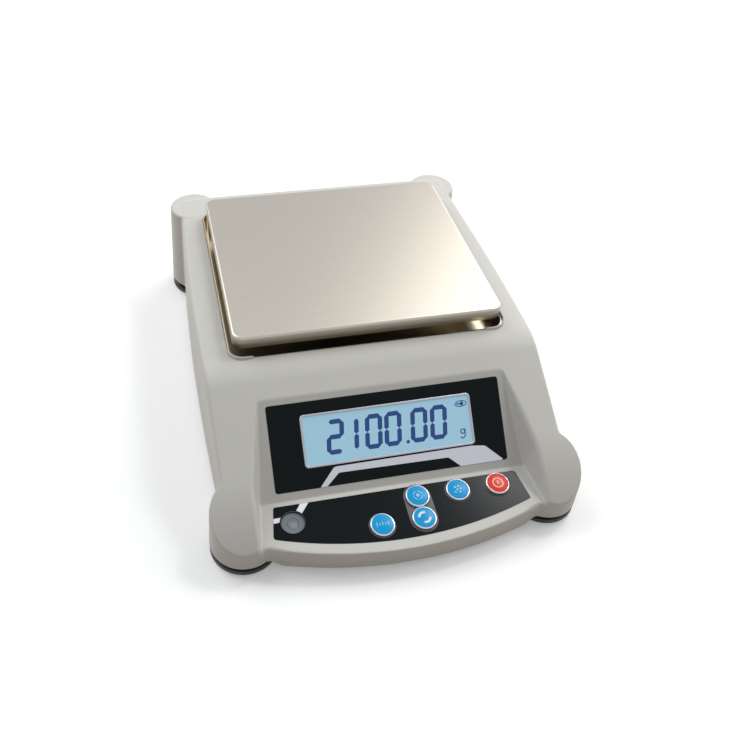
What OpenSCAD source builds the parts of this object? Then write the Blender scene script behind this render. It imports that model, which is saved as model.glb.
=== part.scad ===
// Laboratory precision balance with a rectangular weighing pan.
// Frame: millimetres, X to the right, Y to the back, Z up, origin on the table
// under the middle of the plan. The front of the balance looks along -Y.

/* [Housing] */
// Overall length, from the front bow to the back of the rear lobes
body_len = 282; // [276:1:300]
// Half distance between the axes of the left and right corner lobes
lobe_x = 87; // [84:0.5:92]
// Radius of a corner lobe at its lower edge
lobe_r = 19.1; // [17:0.1:21]
// Slope of the lobe walls, in degrees
lobe_draft = 3; // [1:0.5:4]
// Distance of the front lobe axes behind the front bow
front_lobe_back = 28.8; // [26:0.2:31]
// Distance of the back wall in front of the rear lobes' ends
back_wall_set = 9.7; // [7:0.1:12]
// Half width of the body at its lower edge, at its widest place
side_half = 100.8; // [99:0.2:104]
// Slope of the side and back walls, in degrees
side_draft = 2; // [0.5:0.25:3]
// Plan radius of the slightly bowed sides
side_bow_r = 1900; // [1500:50:2500]
// Plan radius of the front bow
front_bow_r = 237; // [220:1:260]
// Height of the lower edge above the table
rim_h = 3.6; // [3.4:0.1:6]
// Wall thickness of the moulded housing
wall = 2.5; // [2:0.1:3]

/* [Deck] */
// Height of the deck above the table
deck_h = 68.1; // [66:0.1:72]
// Height of the flat tops of the rear lobes below the deck
lobe_step = 1.8; // [1:0.1:2.5]
// Distance of the start of the bend behind the front bow
bend_back = 105.2; // [100:0.2:110]
// Radius of the bend in front of the pan
bend_r = 38; // [30:1:46]
// Slope of the front of the deck, in degrees
deck_slope = 26; // [24:0.5:28]
// Radius of the rounded nose over the front lobes
nose_r = 150; // [130:5:180]
// Distance of the start of the nose behind the front bow
nose_start = 42.4; // [40:0.2:45]
// Drop of the deck at its sides
crown = 2.4; // [1:0.1:3]
// Radius of the rounded edge between the deck and the walls
edge_r = 3; // [1.5:0.5:4]
// Radius of the rounded top edge of the rear lobes
lobe_edge = 2; // [1:0.5:3]

/* [Weighing pan] */
// Width of the pan
pan_w = 160; // [150:1:162]
// Length of the pan, front to back
pan_l = 140; // [130:1:142]
// Height of the pan's top above the table
pan_top = 80; // [79:0.1:84]
// Distance of the pan's middle behind the middle of the body
pan_y = 37.4; // [36:0.1:39]
// Depth of the pan's folded skirt
pan_skirt = 7.8; // [6:0.1:9]
// Sheet thickness of the pan
pan_t = 0.8; // [0.6:0.1:1.2]
// Corner radius of the pan in plan
pan_corner = 6; // [4:0.5:9]
// Radius of the pan's top edge
pan_edge = 2; // [1.2:0.1:3]

/* [Well] */
// Gap between the pan and the edge of the well
well_gap = 2.6; // [2:0.1:3.2]
// Depth of the well below the deck
well_depth = 12.7; // [10:0.1:15]
// Corner radius of the well
well_corner = 9; // [7:0.5:12]
// Thickness of the polished steel liner
liner_t = 0.6; // [0.4:0.1:1]
// Radius of the hole for the pan's post
well_hole_r = 14; // [12:0.5:18]
// Width and height of the raised lip at the front corners
lip = 1.4; // [1:0.1:2]

/* [Control bay] */
// Distance of the crease between display and keypad behind the front bow
crease_back = 38.8; // [36:0.2:41]
// Height of the crease above the table
crease_z = 20.6; // [20:0.1:23]
// Slope of the display face, in degrees
display_tilt = 44; // [42:0.5:46]
// Slope of the keypad face, in degrees
keypad_tilt = 6; // [5:0.5:7]
// Half width of the bay at the top of the display face
bay_top_half = 71.5; // [70:0.1:73]
// Half width of the bay at the crease
bay_crease_half = 76.8; // [76:0.1:78]
// Half width of the bay at the front bow
bay_front_half = 81.4; // [80:0.1:82]
// Flare of the bay's side walls, in degrees
bay_flare = 9.5; // [6:0.5:12]
// Radius of the rounded crests beside the bay
crest_r = 2.5; // [1:0.5:3]

/* [Display] */
// Width of the black display film
film_w = 135; // [130:0.5:138]
// Length of the display film along the slope
film_l = 48; // [46:0.5:50]
// Distance of the film above the crease
film_up = 4.6; // [4:0.1:6]
// Thickness of the films
film_t = 0.5; // [0.3:0.05:0.8]
// Width of the display window
window_w = 96.4; // [90:0.2:100]
// Length of the display window
window_l = 26.8; // [24:0.2:28]
// Distance of the window's middle above the crease
window_up = 30.7; // [29:0.1:32]
// Width of the bright frame round the window
frame_w = 1.4; // [0.8:0.1:2]
// Corner radius of the display window
window_corner = 1; // [0.5:0.1:2]

/* [Keypad] */
// Radius of a button
key_r = 6.5; // [5.5:0.1:6.6]
// Height of a button above the keypad
key_up = 2; // [1.2:0.1:3]
// Travel of a button
key_travel = 0.8; // [0.5:0.1:1]
// Clearance round a button
key_gap = 0.35; // [0.3:0.05:0.5]
// Distance between the button columns
key_pitch = 23.6; // [20:0.2:25]
// Position of the left button column
key_first_x = -14; // [-18:0.5:-10]
// Distance of the upper button row from the crease
key_row_a = 9.8; // [9:0.1:11]
// Distance of the lower button row from the crease
key_row_b = 23.4; // [23.2:0.1:24.5]
// Position of the bubble level across the keypad
level_x = -61.3; // [-63:0.1:-59]
// Distance of the bubble level from the crease
level_s = 13.1; // [12:0.1:15]
// Radius of the bubble level
level_r = 6.9; // [6:0.1:7.5]

/* [Feet] */
// Radius of a levelling wheel
wheel_r = 17.6; // [15:0.1:18]
// Height of a levelling wheel
wheel_h = 2.3; // [1.8:0.1:2.4]
// Thickness of the rubber pad under a wheel
pad_h = 1; // [0.6:0.1:1.2]
// Radius of the rubber pad
pad_r = 12; // [8:0.5:14]
// Radius of the levelling screw
stud_r = 3; // [2.5:0.1:4]
// Running clearance of the levelling screw in its insert
stud_gap = 0.05; // [0.03:0.01:0.1]

/* [Load cell] */
// Length of the load cell
cell_l = 130; // [120:1:136]
// Width of the load cell
cell_w = 30; // [24:1:36]
// Height of the load cell
cell_h = 22; // [18:0.5:24]
// Travel of the pan under the full load
pan_travel = 0.4; // [0.2:0.05:0.5]

/* [Hidden] */
$fn = 96;
bow_fn = 720;          // the wide bows need more steps than a bore
eps = 0.01;
fit = 0.02;            // gap of parts that are pushed together
near = 0.3;            // gap of parts that lie beside each other

front_y = -body_len/2;
front_lobe_y = front_y + front_lobe_back;
rear_lobe_y = body_len/2 - lobe_r;
back_y = body_len/2 - back_wall_set;
widest_y = 17.4;                         // where the sides stand furthest out
crease_y = front_y + crease_back;
nose_y = front_y + nose_start;
form_h = deck_h + 25;                    // tall enough to be cut by the deck
lobes = [[-lobe_x, front_lobe_y], [lobe_x, front_lobe_y],
         [-lobe_x, rear_lobe_y], [lobe_x, rear_lobe_y]];

// Well
well_half = [pan_w/2 + well_gap, pan_l/2 + well_gap + 0.6];
well_floor = deck_h - well_depth;

// Base plate
base_t = 2.5;
base_z = rim_h + 0.8;
base_top = base_z + base_t;
base_gap = 0.3;

// Profile of the deck: flat, a bend, a straight slope and a rounded nose
bend_y = min(front_y + bend_back, pan_y - well_half[1]);   // never behind the well's edge
bend_end_y = bend_y - bend_r*sin(deck_slope);
bend_end_z = deck_h - bend_r*(1 - cos(deck_slope));
nose_z = bend_end_z - (bend_end_y - nose_y)*tan(deck_slope);
function nose_angle(y) = asin(min(0.95, sin(deck_slope) + (nose_y - y)/nose_r));
function bend_angle(y) = asin((bend_y - y)/bend_r);
function deck_line(y) =
    y >= bend_y ? deck_h :
    y >= bend_end_y ? deck_h - bend_r*(1 - cos(bend_angle(y))) :
    y >= nose_y ? bend_end_z - (bend_end_y - y)*tan(deck_slope) :
    nose_z - nose_r*(cos(deck_slope) - cos(nose_angle(y)));
crown_from = 68;
crown_to = 98;
function deck_fall(x) = crown*pow(max(0, abs(x) - crown_from)/(crown_to - crown_from), 1.6);
function deck_z(x, y) = deck_line(y) - deck_fall(x);

// Solid below a height field: rows along Y, each with its own places across X
form_half = 115;
front_stop = front_y - 6;
back_stop = body_len/2 + 6;
low_stop = rim_h + 0.6;                   // the field never falls below this height
module under_surface(ys, xs, zs) {
    nx = len(xs[0]);
    ny = len(ys);
    top = [for (j = [0:ny-1]) for (i = [0:nx-1]) [xs[j][i], ys[j], max(zs[j][i], low_stop)]];
    base = [for (p = [[0, 0], [nx-1, 0], [nx-1, ny-1], [0, ny-1]]) [xs[p[1]][p[0]], ys[p[1]], 0]];
    n = nx*ny;
    skin = [for (j = [0:ny-2]) for (i = [0:nx-2]) for (half = [0, 1])
        half == 0 ? [j*nx+i, (j+1)*nx+i, j*nx+i+1]
                  : [j*nx+i+1, (j+1)*nx+i, (j+1)*nx+i+1]];
    front = concat([n+1, n], [for (i = [0:nx-1]) i]);
    back = concat([n+3, n+2], [for (i = [nx-1:-1:0]) (ny-1)*nx+i]);
    left = concat([n, n+3], [for (j = [ny-1:-1:0]) j*nx]);
    right = concat([n+2, n+1], [for (j = [0:ny-1]) j*nx+nx-1]);
    polyhedron(concat(top, base), concat(skin, [front, back, left, right, [n, n+1, n+2, n+3]]));
}

// Both halves of a row across X, from the places of its right half
function both_sides(xs) = concat([for (i = [len(xs)-1:-1:0]) -xs[i]], [0], xs);

// Plain deck for the inside of the housing
nose_steps = 8;
bend_steps = 6;
bend_ys = [for (i = [0:bend_steps]) bend_y - bend_r*sin(deck_slope*(1 - i/bend_steps))];
plain_ys = concat([for (i = [0:nose_steps]) front_stop + (nose_y - front_stop)*i/nose_steps],
                  bend_ys, [back_stop]);
plain_xs = both_sides([crown_from, 76, 84, 91, 98, 105, form_half]);
module deck_form(drop = 0)
    under_surface(plain_ys, [for (y = plain_ys) plain_xs],
                  [for (y = plain_ys) [for (x = plain_xs) deck_z(x, y) - drop]]);

// Outline of the walls at the height of the deck, and how deep a point lies inside it
function deck_side(y) = side_half - side_bow_r
    + sqrt(pow(side_bow_r - (deck_line(y) - rim_h)*tan(side_draft), 2) - pow(y - widest_y, 2));
function deck_lobe_r(y) = lobe_r - (deck_line(y) - rim_h)*tan(lobe_draft);
function deck_half(y) = max(deck_side(y),
    lobe_x + sqrt(max(0, pow(deck_lobe_r(y), 2) - pow(y - front_lobe_y, 2))));
deck_back = back_y - (deck_h - rim_h)*tan(side_draft);
function deck_depth(x, y) = max(min(deck_side(y) - abs(x), deck_back - y),
                                deck_lobe_r(y) - norm([abs(x) - lobe_x, y - front_lobe_y]));
function edge_fall(d) = d >= edge_r ? 0 :
    d >= 0 ? edge_r - sqrt(edge_r*edge_r - (edge_r - d)*(edge_r - d)) : edge_r + min(5, -3*d);

// Deck with rounded edges: its columns follow the outline of the walls
edge_steps = [for (a = [0:18:90]) edge_r*(1 - sin(a))];
crown_steps = 4;
side_step = 26;
side_rows = floor((deck_back - edge_r - bend_y)/side_step);
soft_ys = concat([front_stop],
    [for (a = [0:15:180]) front_lobe_y - lobe_r*cos(a)],
    [(front_lobe_y + lobe_r + bend_end_y)/2], bend_ys,
    [for (i = [1:side_rows]) bend_y + i*(deck_back - edge_r - bend_y)/(side_rows + 1)],
    [for (d = edge_steps) deck_back - d], [deck_back + 1, back_stop]);
function soft_row(w) = both_sides(concat(
    [for (i = [0:crown_steps-1]) crown_from + (w - edge_r - crown_from)*i/crown_steps],
    [for (d = edge_steps) w - d], [w + 1, form_half]));
module soft_deck_form()
    under_surface(soft_ys, [for (y = soft_ys) soft_row(deck_half(y))],
        [for (y = soft_ys) [for (x = soft_row(deck_half(y)))
            deck_z(x, y) - edge_fall(deck_depth(x, y))]]);

// Round post whose wall leans in, from radius r at the lower edge
module leaning_post(r, lean, h, steps = $fn)
    cylinder(r1 = r, r2 = r - h*tan(lean), h = h, $fn = steps);

// The same post with a rounded top edge
module capped_post(r, lean, h, edge) {
    top_r = r - (h - edge)*tan(lean);
    rotate_extrude() polygon(concat([[0, 0], [r, 0]],
        [for (a = [0:15:90]) [top_r - edge + edge*cos(a), h - edge + edge*sin(a)]], [[0, h]]));
}

// Body between the lobes: two bowed sides, the front bow and the back wall
module main_form(inset = 0) {
    h = form_h;
    translate([0, 0, rim_h]) intersection() {
        translate([side_half - side_bow_r, widest_y, 0])
            leaning_post(side_bow_r - inset, side_draft, h, bow_fn);
        translate([side_bow_r - side_half, widest_y, 0])
            leaning_post(side_bow_r - inset, side_draft, h, bow_fn);
        translate([0, front_y + front_bow_r, 0])
            leaning_post(front_bow_r - inset, 0.3, h, bow_fn);
        rotate([90, 0, 90])
            translate([0, 0, -form_half])
                linear_extrude(2*form_half)
                    polygon([[front_y - 10, 0], [back_y - inset, 0],
                             [back_y - inset - h*tan(side_draft), h], [front_y - 10, h]]);
    }
}

// Block under the keypad, which the bay cuts down to the keypad face
tray_half = bay_front_half - wall;
tray_over = 2;
module tray_form() translate([-tray_half, 0, 0]) rotate([90, 0, 90]) linear_extrude(2*tray_half)
    polygon([[front_stop, 0], [crease_y, 0], [crease_y, crease_z + tray_over],
             [front_stop, crease_z + tray_over - (crease_y - front_stop)*tan(keypad_tilt)]]);

module outer_form() {
    intersection() {
        union() {
            main_form();
            for (p = [lobes[0], lobes[1]])
                translate([p[0], p[1], rim_h]) leaning_post(lobe_r, lobe_draft, form_h);
        }
        union() {
            soft_deck_form();
            tray_form();
        }
    }
    for (p = [lobes[2], lobes[3]])
        translate([p[0], p[1], rim_h])
            capped_post(lobe_r, lobe_draft, deck_h - lobe_step - rim_h, lobe_edge);
}

module inner_form() {
    intersection() {
        union() {
            main_form(wall);
            for (p = lobes)
                translate([p[0], p[1], rim_h])
                    leaning_post(lobe_r - wall, lobe_draft, deck_h - lobe_step - wall - rim_h);
        }
        union() {
            deck_form(wall*1.15);
            tray_form();
        }
    }
}

// Plate-like outlines
module rounded_rect(half, corner) {
    square([2*half[0], 2*(half[1] - corner)], center = true);
    square([2*(half[0] - corner), 2*half[1]], center = true);
    for (sx = [-1, 1]) for (sy = [-1, 1])
        translate([sx*(half[0] - corner), sy*(half[1] - corner)]) circle(corner);
}

module at_well(z) translate([0, pan_y, z]) children();

// Places a piece on the display face, Y up the slope and Z out of it
module on_display(up = 0, out = 0)
    translate([0, crease_y, crease_z]) rotate([display_tilt, 0, 0]) translate([0, up, out])
        children();

// Places a piece on the keypad face, s along it to the front and Z out of it
module on_keypad(x = 0, s = 0, out = 0)
    translate([0, crease_y, crease_z]) rotate([keypad_tilt, 0, 0]) translate([x, -s, out])
        children();

// Space over the display and keypad faces, with flared sides
bay_open = 90;                            // height to which the bay is cut open
bay_top_y = crease_y + 52;                // past the place where the faces meet the deck
function face_z(y) = y > crease_y ? crease_z + (y - crease_y)*tan(display_tilt)
                                  : crease_z + (y - crease_y)*tan(keypad_tilt);
deck_meet_s = (bend_end_z - crease_z - (bend_end_y - crease_y)*tan(deck_slope))
              /(tan(display_tilt) - tan(deck_slope));
bay_meet_y = crease_y + deck_meet_s;      // upper edge of the bay
function bay_half(y) =
    y > crease_y ? bay_crease_half + (bay_top_half - bay_crease_half)*(y - crease_y)/deck_meet_s
                 : bay_crease_half + (bay_front_half - bay_crease_half)*(crease_y - y)/crease_back;

// Side of the bay at a station: up the flared wall, round the crest and straight up
bay_rows = 6;                             // stations on the keypad part and on the display part
bay_ys = concat([for (i = [0:bay_rows-1]) front_stop + (crease_y - front_stop)*i/bay_rows],
                [for (i = [0:bay_rows]) crease_y + (bay_top_y - crease_y)*i/bay_rows]);
function crest_h(y, z, w) = max(0.3, deck_z(w + (deck_z(w, y) - z)*tan(bay_flare), y) - z);
function bay_side(z, w, h, r) = let (x = w + (h - r)*tan(bay_flare)) concat(
    [for (a = [0:25:75]) [x + r*(1 - cos(a)), z + h - r + r*sin(a)]],
    [[x + r + 0.3, z + h + 0.3], [x + r + 0.3, bay_open]]);
module bay_space(grow = 0) {
    rings = [for (y = bay_ys)
        let (z = face_z(y) - (y > crease_y ? grow/cos(display_tilt) : grow),
             w = bay_half(y) + grow, h = crest_h(y, z, w),
             side = bay_side(z, w, h, grow > 0 ? 0.05 : min(crest_r, 0.6*h)))
        concat([[-w, y, z], [w, y, z]], [for (p = side) [p[0], y, p[1]]],
               [for (i = [len(side)-1:-1:0]) [-side[i][0], y, side[i][1]]])];
    m = len(rings[0]);
    last = len(rings) - 1;
    sides = [for (k = [0:last-1]) for (i = [0:m-1]) for (half = [0, 1])
        let (a = m*k + i, b = m*k + (i+1)%m) half == 0 ? [a, b, b+m] : [a, b+m, a+m]];
    caps = [for (k = [0:m/2-2]) let (l0 = (m-k)%m, l1 = m-k-1, r0 = k+1, r1 = k+2)
        each [[l1, r1, r0, l0], [m*last+l0, m*last+r0, m*last+r1, m*last+l1]]];
    polyhedron([for (ring = rings) each ring], concat(caps, sides));
}

// Screw bosses that stand on the base plate
boss_r = 4.2;
screw_r = 1.5;
screw_head_r = 2.9;
screw_head_h = 1.7;
screw_len = 11;
front_screw = [64, 8.2];                  // across, and behind the crease
side_screw_in = 9.8;                      // from the widest place of the sides
side_screw_front = 57.4;                  // in front of the pan's middle
side_screw_back = 32.6;                   // behind it
rear_screw = [62, 10];                    // across, and in front of the back wall
screw_places = [for (p = [[front_screw[0], crease_y + front_screw[1]],
                          [side_half - side_screw_in, pan_y - side_screw_front],
                          [side_half - side_screw_in, pan_y + side_screw_back],
                          [rear_screw[0], back_y - rear_screw[1]]])
                    for (side = [-1, 1]) [side*p[0], p[1]]];
insert_r = 5;
insert_h = 12;
insert_z = base_top + near;
stud_len = 15;

key_names = ["calibrate", "tare", "units", "count", "power"];
key_places = [[key_first_x, key_row_b], [key_first_x + key_pitch, key_row_b],
              [key_first_x + key_pitch, key_row_a], [key_first_x + 2*key_pitch, key_row_a],
              [key_first_x + 3*key_pitch, key_row_a]];
key_hole_r = key_r + key_gap;
key_down = 4;                             // depth of a button below the keypad face
lug_half = [key_r + 1.6, 1.6];            // lugs that keep a button in
switch_h = 3.5;
switch_top = key_down + key_travel + 0.1;
keypad_board_top = switch_top + switch_h;
board_t = 1.6;

window_half = [window_w/2, window_l/2];
film_low = film_up;
film_corner = 1.6;
frame_half = [window_half[0] + frame_w, window_half[1] + frame_w];
glass_t = 2.3;
glow_t = 3.2;

display_board_top = 0.2 + glass_t + glow_t + fit;   // its depth behind the display face
display_board_half = [59, 19];
post_small_r = 2.4;
post_in = 3;                              // from a board's edge to the middle of a post
display_posts = [for (sx = [-1, 1]) for (sy = [-1, 1])
    [sx*(display_board_half[0] - post_in), window_up + sy*(display_board_half[1] - post_in)]];

// Keypad board: a strip under the buttons whose front right corner follows the bow
board_left = key_places[0][0] - lug_half[0] - 6.4;
board_right = key_places[4][0] + lug_half[0] + 7.6;
board_near = key_row_a - 4.8;             // its edges, from the crease
board_far = key_row_b + 4.6;
board_cut_x = key_places[3][0] + 10.8;    // where the cut corner starts
board_cut_s = board_far - 8;
keypad_posts = [[board_left + post_in, board_near + post_in],
                [board_left + post_in, board_far - post_in],
                [board_right - post_in, board_near + post_in],
                [board_cut_x - 4, board_far - post_in]];

jack_x = 34;
jack_z = 20;
jack_r = 4.6;

// Distance of the keypad film's bowed edge from the crease
film_margin = 5.9;
film_bow_r = front_bow_r - film_margin;
function keypad_film_edge(x) = crease_back - film_margin
    - (film_bow_r - sqrt(film_bow_r*film_bow_r - x*x));

// Outline of the keypad film: a straight top, short slanted sides and a bowed front
keypad_top_s = 2.6;
keypad_top_half = 69.9;
keypad_low_half = 72.8;
keypad_corners = [2.2, 1.4, 3.5];          // top right, top left and lower left
function round_corner(a, b, c, r, n = 4) =
    let (u = (a - b)/norm(a - b), v = (c - b)/norm(c - b), reach = r/tan(acos(u*v)/2))
    [for (i = [0:n]) let (t = i/n) b + u*reach*(1 - t)*(1 - t) + v*reach*t*t];
module keypad_outline() {
    n = 16;
    arc = [for (i = [0:n]) let (x = -keypad_low_half + 2*keypad_low_half*i/n)
               [x, -keypad_film_edge(x)]];
    right = [keypad_top_half, -keypad_top_s];
    left = [-keypad_top_half, -keypad_top_s];
    polygon(concat(round_corner(left, arc[0], arc[1], keypad_corners[2]),
                   [for (i = [1:n]) arc[i]],
                   round_corner(arc[n], right, left, keypad_corners[0]),
                   round_corner(right, left, arc[0], keypad_corners[1])));
}

module upper_housing() color([0.76, 0.76, 0.73]) {
    difference() {
        union() {
            outer_form();
            well_lips();
        }
        difference() {
            translate([0, 0, -eps]) inner_form();
            at_well(well_floor - wall)
                linear_extrude(form_h) rounded_rect(well_half + [wall, wall], well_corner + wall);
            bay_space(wall);
            housing_bosses();
        }
        at_well(well_floor) linear_extrude(form_h) rounded_rect(well_half, well_corner);
        at_well(well_floor - wall - 1) cylinder(r = well_hole_r, h = wall + 2);
        bay_space();
        display_cuts();
        keypad_cuts();
        for (p = lobes) translate([p[0], p[1], rim_h]) {
            cylinder(r = insert_r + fit, h = insert_z + insert_h - rim_h);
            cylinder(r = stud_r + 0.5, h = insert_z + insert_h - rim_h + 2);
        }
        for (p = screw_places) translate([p[0], p[1], rim_h]) cylinder(r = screw_r + fit, h = 16);
        translate([jack_x, back_y - 12, jack_z]) rotate([-90, 0, 0]) cylinder(r = jack_r, h = 20);
    }
}

module housing_bosses() {
    for (p = display_posts) on_display(p[1], -display_board_top) translate([p[0], 0, 0])
        cylinder(r = post_small_r, h = display_board_top);
    for (p = keypad_posts) on_keypad(p[0], p[1], -keypad_board_top)
        cylinder(r = post_small_r, h = keypad_board_top);
    for (p = lobes) translate([p[0], p[1], base_top]) cylinder(r = insert_r + 2.5, h = form_h);
    for (p = screw_places) translate([p[0], p[1], base_top]) cylinder(r = boss_r, h = form_h);
}

// Raised lips round the two front corners of the well
module well_lips() {
    lip_reach = 15;
    for (side = [-1, 1])
        intersection() {
            at_well(well_floor) linear_extrude(well_depth + lip)
                rounded_rect(well_half + [lip, lip], well_corner + lip);
            translate([side*(well_half[0] + lip - lip_reach/2), pan_y - well_half[1], deck_h])
                cube([lip_reach, 2*lip_reach, 2*well_depth], center = true);
        }
}

module display_cuts() {
    on_display(film_low + film_l/2, -film_t) linear_extrude(10)
        rounded_rect([film_w/2 + 0.1, film_l/2 + 0.1], film_corner + 0.1);
    on_display(window_up, -10) linear_extrude(20)
        rounded_rect(frame_half + [0.1, 0.1], window_corner + frame_w + 0.1);
}

module keypad_cuts() {
    on_keypad(0, 0, -film_t) linear_extrude(10) keypad_outline();
    for (p = key_places) on_keypad(p[0], p[1], -12) cylinder(r = key_hole_r, h = 24);
    on_keypad(level_x, level_s, -12) cylinder(r = level_r + near, h = 24);
}

module base_plate() color([0.13, 0.13, 0.14]) {
    difference() {
        union() {
            intersection() {
                union() {
                    main_form(wall + base_gap);
                    for (p = lobes) translate([p[0], p[1], rim_h])
                        leaning_post(lobe_r - wall - base_gap, lobe_draft, 30);
                }
                translate([-form_half, front_stop, base_z])
                    cube([2*form_half, body_len + 12, base_t]);
            }
            for (p = board_posts) translate([p[0], p[1], base_z])
                cylinder(r = 3, h = board_z - base_z);
        }
        for (p = lobes) translate([p[0], p[1], 0]) cylinder(r = stud_r + 0.8, h = 20);
        for (p = screw_places) translate([p[0], p[1], 0]) {
            cylinder(r = screw_r + 0.2, h = 20);
            cylinder(r = screw_head_r + 0.2, h = base_z + screw_head_h);
        }
        for (y = fixed_screws) translate([0, y, 0]) {
            cylinder(r = cell_screw_r + 0.2, h = 20);
            cylinder(r = cell_head_r + 0.2, h = base_z + screw_head_h);
        }
    }
}

module well_liner() color([0.80, 0.77, 0.70]) at_well(well_floor) {
    outer = well_half - [0.1, 0.1];
    difference() {
        linear_extrude(well_depth - 0.4) rounded_rect(outer, well_corner - 0.1);
        translate([0, 0, liner_t]) linear_extrude(well_depth)
            rounded_rect(outer - [liner_t, liner_t], well_corner - 0.1 - liner_t);
        translate([0, 0, -1]) cylinder(r = well_hole_r, h = 5);
    }
}

// Rounded block: straight bars and turned corners that share one edge profile
function edge_profile(reach, h, edge) = concat([[0, 0], [reach, 0]],
    [for (i = [0:6]) [reach - edge + edge*cos(15*i), h - edge + edge*sin(15*i)]], [[0, h]]);
module soft_block(half, h, corner, edge) {
    inner = [half[0] - corner, half[1] - corner];
    for (turn = [0, 180]) rotate(turn) {
        translate([-inner[0], 0, 0]) rotate([90, 0, 90]) linear_extrude(2*inner[0])
            polygon(edge_profile(half[1], h, edge));
        rotate(-90) translate([-inner[1], 0, 0]) rotate([90, 0, 90]) linear_extrude(2*inner[1])
            polygon(edge_profile(half[0], h, edge));
    }
    for (sx = [-1, 1]) for (sy = [-1, 1]) translate([sx*inner[0], sy*inner[1], 0])
        rotate_extrude() polygon(edge_profile(corner, h, edge));
}

module weighing_pan() color([0.84, 0.82, 0.78]) {
    h = pan_skirt;
    at_well(pan_top - h) difference() {
        soft_block([pan_w/2, pan_l/2], h, pan_corner, pan_edge);
        translate([0, 0, -1]) linear_extrude(h + 1 - pan_t)
            rounded_rect([pan_w/2 - pan_t, pan_l/2 - pan_t], pan_corner - pan_t);
    }
}

// Pan support: a cross of four arms on a round hub, with a post to the load bracket
arm_reach = [54, 46];
arm_w = 11;
arm_t = 4.6;
cushion_h = 2.4;
cushion_r = 5;
post_r = 8;
hub_r = 18;
arm_top = pan_top - pan_t - cushion_h;
arm_angle = atan2(arm_reach[1], arm_reach[0]);
arm_len = norm(arm_reach);
module pan_support() color([0.62, 0.64, 0.66]) at_well(0) {
    difference() {
        union() {
            translate([0, 0, arm_top - arm_t]) linear_extrude(arm_t) {
                circle(hub_r);
                for (a = [arm_angle, 180 - arm_angle])
                    rotate(a) square([2*arm_len, arm_w], center = true);
                for (sx = [-1, 1]) for (sy = [-1, 1])
                    translate([sx*arm_reach[0], sy*arm_reach[1]]) circle(cushion_r + 2);
            }
            translate([0, 0, bracket_top]) cylinder(r = post_r, h = arm_top - arm_t/2 - bracket_top);
        }
        translate([0, 0, arm_top - 30]) cylinder(r = 2.2, h = 40);
    }
}

module pan_cushions() color([0.12, 0.12, 0.12]) at_well(arm_top)
    for (sx = [-1, 1]) for (sy = [-1, 1]) translate([sx*arm_reach[0], sy*arm_reach[1], 0])
        cylinder(r = cushion_r, h = cushion_h);

// Load cell: a bar with the two joined holes that make it bend as a parallelogram
block_h = 4;
cell_z = base_top + block_h;
cell_y0 = pan_y - cell_l/2;
cell_y1 = pan_y + cell_l/2;
cell_web = 2;                             // thickness left over each hole
cell_hole_r = cell_h/2 - cell_web - 1.5;
flex_half = 18;                           // half distance between the holes
flex_slot = 6;                            // height of the slot that joins them
cell_screw_r = 3;
cell_head_r = 5;
cell_screw_gap = 0.1;
cell_thread = 9;                          // depth of the screws in the load cell
screw_near = 7;                           // distances of its screws from its ends
screw_far = 18;
block_l = 25;
fixed_screws = [cell_y1 - screw_near, cell_y1 - screw_far];
free_screws = [cell_y0 + screw_near, cell_y0 + screw_far];
module load_cell() color([0.80, 0.81, 0.83]) difference() {
    translate([-cell_w/2, cell_y0, cell_z]) cube([cell_w, cell_l, cell_h]);
    for (s = [-1, 1]) translate([-cell_w, pan_y + s*flex_half, cell_z + cell_h/2])
        rotate([0, 90, 0]) cylinder(r = cell_hole_r, h = 2*cell_w);
    translate([-cell_w, pan_y - flex_half, cell_z + (cell_h - flex_slot)/2])
        cube([2*cell_w, 2*flex_half, flex_slot]);
    for (y = fixed_screws) translate([0, y, cell_z - 1])
        cylinder(r = cell_screw_r + cell_screw_gap, h = cell_thread + 2);
    for (y = free_screws) translate([0, y, cell_z + cell_h - cell_thread - 1])
        cylinder(r = cell_screw_r + cell_screw_gap, h = cell_thread + 2);
}

module load_cell_block() color([0.70, 0.71, 0.73]) difference() {
    translate([-cell_w/2, cell_y1 - block_l, base_top]) cube([cell_w, block_l, cell_z - base_top]);
    for (y = fixed_screws) translate([0, y, base_top - 1])
        cylinder(r = cell_screw_r + cell_screw_gap, h = cell_z - base_top + 2);
}

module load_cell_screws() color([0.35, 0.35, 0.36])
    for (y = fixed_screws) translate([0, y, base_z]) {
        cylinder(r = cell_head_r, h = screw_head_h - fit);
        cylinder(r = cell_screw_r, h = cell_z + cell_thread - base_z);
    }

// Bracket on the free end of the load cell, which brings the post over its middle
bracket_t = 5;
spacer_h = 2;
bracket_z = cell_z + cell_h;
bracket_top = bracket_z + spacer_h + bracket_t;
bracket_head_h = 3.2;                     // heads of its screws, sunk into it
stop_x = 24;
stop_in = 12;                             // from the free end of the load cell
stop_y = cell_y0 + stop_in;
stop_r = 3;
stop_flange = [5, 3];                     // radius and height of a stop's foot
ear_half = [6, 8];                        // reach of the bracket round a stop
module load_bracket() color([0.66, 0.68, 0.70]) difference() {
    union() {
        translate([-cell_w/2, cell_y0, bracket_z]) cube([cell_w, block_l, spacer_h + eps]);
        translate([-cell_w/2, cell_y0, bracket_z + spacer_h])
            cube([cell_w, cell_l/2 + post_r + 4, bracket_t]);
        translate([-stop_x - ear_half[0], stop_y - ear_half[1], bracket_z + spacer_h])
            cube([2*(stop_x + ear_half[0]), 2*ear_half[1], bracket_t]);
    }
    for (y = free_screws) translate([0, y, bracket_z - 1]) {
        cylinder(r = cell_screw_r + cell_screw_gap, h = bracket_t + spacer_h + 2);
        translate([0, 0, bracket_top - bracket_z + 1 - bracket_head_h - 0.2])
            cylinder(r = cell_head_r + 0.2, h = bracket_t);
    }
}

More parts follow.
